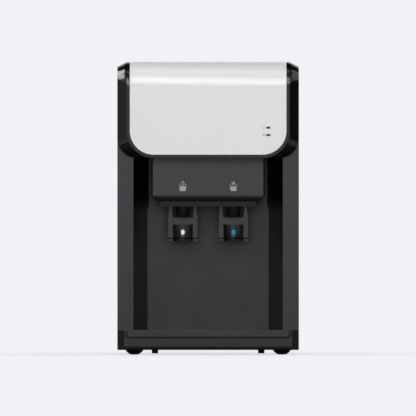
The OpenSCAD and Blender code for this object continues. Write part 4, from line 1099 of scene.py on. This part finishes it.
@dataclass
class Cooling(SubAssembly):
    """The refrigeration circuit and the chassis under it."""

    finishes: Finishes = field(
        default_factory=lambda: {
            STAINLESS: ("chassis_plate",),
            ENAMEL: (
                "compressor_shell",
                "compressor_saddle",
                "condenser_tube",
                "condenser_wires",
                "condenser_brackets",
            ),
            WINDINGS: ("compressor_motor",),
            RUBBER: ("compressor_mounts",),
            COPPER: ("refrigerant_pipes",),
        }
    )
    rounded_mm: Rounding = field(
        default_factory=lambda: {0.8: ("compressor_shell",), 0.3: ("condenser_brackets",)}
    )
    evaporator_turns: float = 7.5
    evaporator_tube_r: float = 3.0 * MM

    def evaporator(self) -> None:
        """Wind a smooth evaporator in place of the faceted one."""
        low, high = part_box("evaporator")
        tube = self.evaporator_tube_r
        made = Coil(
            name="evaporator_coil",
            axis=Vector(((low.x + high.x) / 2, (low.y + high.y) / 2, low.z + tube)),
            radius=(high.y - low.y) / 2 - tube,
            wire=tube,
            pitch=(high.z - low.z - 2 * tube) / self.evaporator_turns,
            turns=self.evaporator_turns,
            start=math.pi,
            hand=-1,
        ).build(COPPER, "cabinet")
        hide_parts("evaporator")


@dataclass
class WaterCircuit(SubAssembly):
    """The tank, its jacket, the float valve and the hoses."""

    finishes: Finishes = field(
        default_factory=lambda: {
            STAINLESS: ("tank_frame", "water_tank", "tank_baffle"),
            POLYSTYRENE: ("foam_front", "foam_rear"),
            RUBBER: ("tank_gasket",),
            POLYETHYLENE: (
                "tank_lid",
                "float_valve",
                "float_arm",
                "ambient_hose",
                "cold_hose",
                "drain_hose",
                "inlet_hose",
            ),
        }
    )


@dataclass
class RearFittings(SubAssembly):
    """The inlet, drain cap, cord gland and switch."""

    finishes: Finishes = field(
        default_factory=lambda: {POLYETHYLENE: ("rear_fittings",), GLOSS_ABS: ("switch_rocker",)}
    )
    rounded_mm: Rounding = field(
        default_factory=lambda: {0.4: ("rear_fittings", "switch_rocker")}
    )


@dataclass(frozen=True)
class Softbox:
    """A light that faces the object and that the camera doesn't see.

    diffuse says whether matt surfaces take its light, and glossy whether glossy ones reflect it.
    """

    name: str
    place: Spot
    size: Point
    watts: float
    diffuse: bool = True
    glossy: bool = True

    def hang(self) -> None:
        """Add the light to the studio."""
        data = bpy.data.lights.new(self.name, "AREA")
        data.shape = "RECTANGLE"
        data.size, data.size_y = self.size
        data.energy = self.watts
        made = link_object(self.name, data)
        made.location = self.place
        made.rotation_euler = (CAD_MIDDLE - Vector(self.place)).to_track_quat("-Z", "Y").to_euler()
        made.visible_camera = False
        made.visible_diffuse = self.diffuse
        made.visible_glossy = self.glossy


@dataclass(frozen=True)
class Card:
    """A card that glossy surfaces reflect, and that is clear from behind.

    Its tone runs from near, beside the object, to far, towards the front. diffuse says whether matt
    surfaces take its tone too.
    """

    name: str
    corners: Sequence[Sequence[float]]
    near: str
    far: str
    strength: float = 1.0
    diffuse: bool = False
    near_y: float = -0.5
    far_y: float = -1.1

    def stand(self) -> None:
        """Add the card to the studio, with its tone towards the object."""
        shape = bmesh.new()
        face = shape.faces.new([shape.verts.new(c) for c in self.corners])
        face.normal_update()
        if face.normal.dot(CAD_MIDDLE - face.calc_center_median()) < 0:
            face.normal_flip()
        made = link_mesh(self.name, shape, self._material())
        for ray in ("camera", "transmission", "shadow", "volume_scatter"):
            setattr(made, f"visible_{ray}", False)
        made.visible_diffuse = self.diffuse

    def _material(self) -> bpy.types.Material:
        """Make the card's nodes.

        Returns:
            The new material.
        """
        made = bpy.data.materials.new(self.name)
        tree = empty_tree(made)
        place = add_node(tree, "ShaderNodeTexCoord")
        axes = add_node(tree, "ShaderNodeSeparateXYZ", links={0: place.outputs["Object"]})
        along = add_node(
            tree,
            "ShaderNodeMapRange",
            values={"From Min": self.near_y, "From Max": self.far_y},
            links={"Value": axes.outputs["Y"]},
        )
        tone = add_node(
            tree,
            "ShaderNodeMix",
            {"data_type": "RGBA"},
            {MIX_FIRST: srgb(self.near), MIX_SECOND: srgb(self.far)},
            {MIX_SHARE: along.outputs["Result"]},
        )
        card = add_node(
            tree,
            "ShaderNodeEmission",
            values={"Strength": self.strength},
            links={"Color": tone.outputs[MIX_RESULT]},
        )
        side = add_node(tree, "ShaderNodeNewGeometry")
        clear = add_node(tree, "ShaderNodeBsdfTransparent")
        faced = add_node(
            tree,
            "ShaderNodeMixShader",
            links={0: side.outputs["Backfacing"], 1: card.outputs[0], 2: clear.outputs[0]},
        )
        add_node(tree, "ShaderNodeOutputMaterial", links={"Surface": faced.outputs[0]})
        return made


@dataclass
class Studio:
    """Camera, light, floor and background."""

    # The camera, with the photograph's frame and scale at the object's front.
    image_px: int = 416
    mm_per_px: float = 1.7066
    look_z: float = 250.4 * MM
    look_x: float = -0.2 * MM
    distance: float = 30.0
    sight: float = 100.0
    sensor_mm: float = 36.0
    # The room, and the floor, which fades into the background between two distances.
    background: str = "#f1f2f6"
    room_tone: str = "#ebebeb"
    room: float = 0.24
    floor_r: float = 1.6
    floor_sides: int = 96
    floor_drop: float = 0.3 * MM
    floor_fade: Point = (0.25, 0.9)
    floor_glow: float = 0.72
    # The cards: a flag at each side, one on the floor, the roof, and a strip at each shoulder.
    flag_x: float = 1.4
    flag_back: float = 0.25
    flag_front: float = -2.6
    flag_h: float = 1.2
    card_front: float = -1.0
    card_z: float = 1.0 * MM
    roof_x: float = 2.8
    roof_front: float = -2.0
    roof_back: float = 2.6
    roof_z: float = 2.7
    shoulder_front: Spot = (2.12, -1.1, 1.8)
    shoulder_back: Spot = (1.55, 0.5, 2.5)
    shoulder_half: Spot = (-0.2, -0.25, 0.38)

    def camera(self) -> None:
        """Place a level camera in front with a long lens, as the photograph was taken."""
        data = bpy.data.cameras.new("camera")
        data.sensor_width = self.sensor_mm
        data.lens = self.sensor_mm * self.distance / (self.image_px * self.mm_per_px * MM)
        data.clip_end = self.sight
        made = link_object("camera", data)
        made.location = (self.look_x, CAD_BOX[0].y - self.distance, self.look_z)
        made.rotation_euler = (math.radians(90), 0, 0)
        bpy.context.scene.camera = made

    def lights(self) -> None:
        """Hang the softboxes.

        The upper pair is what the silver fascia reflects, the frontal and the overhead one give even
        light without a reflection, and the others light the top, the back and the sides.
        """
        for softbox in (
            Softbox("left_softbox", (-0.8, -3.0, 1.9), (1.5, 1.5), 33.0, diffuse=False),
            Softbox("right_softbox", (0.8, -3.0, 1.9), (1.5, 1.5), 29.0, diffuse=False),
            Softbox("front_softbox", (0.0, -4.0, 0.5), (1.8, 1.2), 114.0, glossy=False),
            Softbox("top_softbox", (0.0, -0.35, 2.7), (2.0, 1.2), 9.0),
            Softbox("overhead_softbox", (0.0, -0.6, 2.7), (2.0, 1.2), 17.0, glossy=False),
            Softbox("rear_softbox", (1.5, 2.8, 0.42), (2.0, 0.6), 40.0),
            Softbox("side_softbox_left", (-2.6, 1.4, 0.9), (1.2, 1.4), 40.0, glossy=False),
            Softbox("side_softbox_right", (2.6, 1.4, 0.9), (1.2, 1.4), 40.0, glossy=False),
        ):
            softbox.hang()

    def cards(self) -> None:
        """Set up the cards that glossy faces reflect.

        Dark ones stand at each side, lie on the floor and hang overhead, and a bright strip at each
        shoulder lights up the bevels' upper corners.
        """
        x, back, front = self.flag_x, self.flag_back, self.flag_front
        tall = [(back, 0.0), (front, 0.0), (front, self.flag_h), (back, self.flag_h)]
        Card("left_flag", [(-x, y, z) for y, z in tall], near="#2a2a2b", far="#aeaeb0").stand()
        Card("right_flag", [(x, y, z) for y, z in tall], near="#1a1a1b", far="#3c3c3d").stand()
        low = self._level(x, back, self.card_front, self.card_z)
        Card("floor_card", low, near="#2a2a2b", far="#8a8a8b", diffuse=True).stand()
        roof = self._level(self.roof_x, self.roof_back, self.roof_front, self.roof_z)
        Card("roof_card", roof, near="#1c1c1d", far="#8a8a8b").stand()
        for side, way, strength in (("left", -1, 9.0), ("right", 1, 1.4)):
            mirror = Matrix.Diagonal((way, 1, 1))
            ends = [mirror @ Vector(end) for end in (self.shoulder_front, self.shoulder_back)]
            half = mirror @ Vector(self.shoulder_half)
            strip = [ends[0] - half, ends[1] - half, ends[1] + half, ends[0] + half]
            Card(f"{side}_shoulder_card", strip, "#ffffff", "#ffffff", strength).stand()

    def _level(self, half_w: float, back: float, front: float, z: float) -> list[Spot]:
        """Corners of a level card that lies across the middle."""
        return [(-half_w, back, z), (half_w, back, z), (half_w, front, z), (-half_w, front, z)]

    def _seen(self, tree: bpy.types.NodeTree) -> bpy.types.NodeSocket:
        """Add the test for what the camera, a reflection or a lens shows.

        Args:
            tree: The node tree.

        Returns:
            The socket that is 1 for such a ray and 0 for light that spreads.
        """
        path = add_node(tree, "ShaderNodeLightPath")
        seen = path.outputs["Is Camera Ray"]
        for kind in ("Is Glossy Ray", "Is Transmission Ray"):
            seen = add_node(
                tree, "ShaderNodeMath", {"operation": "MAXIMUM"}, links={0: seen, 1: path.outputs[kind]}
            ).outputs[0]
        return seen

    def world(self) -> None:
        """Fill the room with soft light, and show the pale background to the camera and in reflections."""
        made = bpy.data.worlds.new("room")
        tree = empty_tree(made)
        room, pale = (
            add_node(tree, "ShaderNodeBackground", values={"Color": srgb(tone), "Strength": strength})
            for tone, strength in ((self.room_tone, self.room), (self.background, 1.0))
        )
        mixed = add_node(
            tree,
            "ShaderNodeMixShader",
            links={0: self._seen(tree), 1: room.outputs[0], 2: pale.outputs[0]},
        )
        add_node(tree, "ShaderNodeOutputWorld", links={"Surface": mixed.outputs[0]})
        bpy.context.scene.world = made

    def floor(self) -> None:
        """Lay a round pale floor that fades into the background and keeps the shadow."""
        shape = bmesh.new()
        bmesh.ops.create_circle(shape, cap_ends=True, segments=self.floor_sides, radius=self.floor_r)
        made = link_mesh("floor", shape, self._floor_material())
        made.location = (0, 0, CAD_BOX[0].z - self.floor_drop)

    def _floor_material(self) -> bpy.types.Material:
        """Make the floor: painted board near the object, and only background at its rim.

        Returns:
            The material.
        """
        made = bpy.data.materials.new("painted_floor_matt")
        tree = empty_tree(made)
        place = add_node(tree, "ShaderNodeTexCoord")
        away = add_node(
            tree, "ShaderNodeVectorMath", {"operation": "LENGTH"}, links={0: place.outputs["Object"]}
        )
        near, far = self.floor_fade
        fade = add_node(
            tree,
            "ShaderNodeMapRange",
            {"interpolation_type": "SMOOTHSTEP"},
            {"From Min": near, "From Max": far, "To Min": self.floor_glow},
            {"Value": away.outputs["Value"]},
        )
        share = add_node(
            tree,
            "ShaderNodeMath",
            {"operation": "MULTIPLY"},
            links={0: fade.outputs["Result"], 1: self._seen(tree)},
        )
        pale = srgb(self.background)
        paint = add_node(tree, "ShaderNodeBsdfDiffuse", values={"Color": pale})
        glow = add_node(tree, "ShaderNodeEmission", values={"Color": pale, "Strength": 1.0})
        mixed = add_node(
            tree,
            "ShaderNodeMixShader",
            links={0: share.outputs[0], 1: paint.outputs[0], 2: glow.outputs[0]},
        )
        add_node(tree, "ShaderNodeOutputMaterial", links={"Surface": mixed.outputs[0]})
        return made

    def build(self) -> None:
        """Set up the whole studio."""
        self.camera()
        self.world()
        self.lights()
        self.cards()
        self.floor()
        bpy.context.scene.view_settings.view_transform = "Standard"


def main() -> None:
    """Build the studio, dress the CAD nodes and add the fine pieces."""
    logging.basicConfig(level=logging.INFO, format="%(message)s")
    Studio().build()
    cabinet, head, taps, cooling = Cabinet(), Head(), Taps(), Cooling()
    for assembly in (cabinet, DripTray(), head, taps, cooling, WaterCircuit(), RearFittings()):
        assembly.dress()
    cabinet.screws()
    head.lenses()
    head.marks()
    taps.icons()
    taps.bands()
    taps.springs()
    cooling.evaporator()


if __name__ == "__main__":
    main()
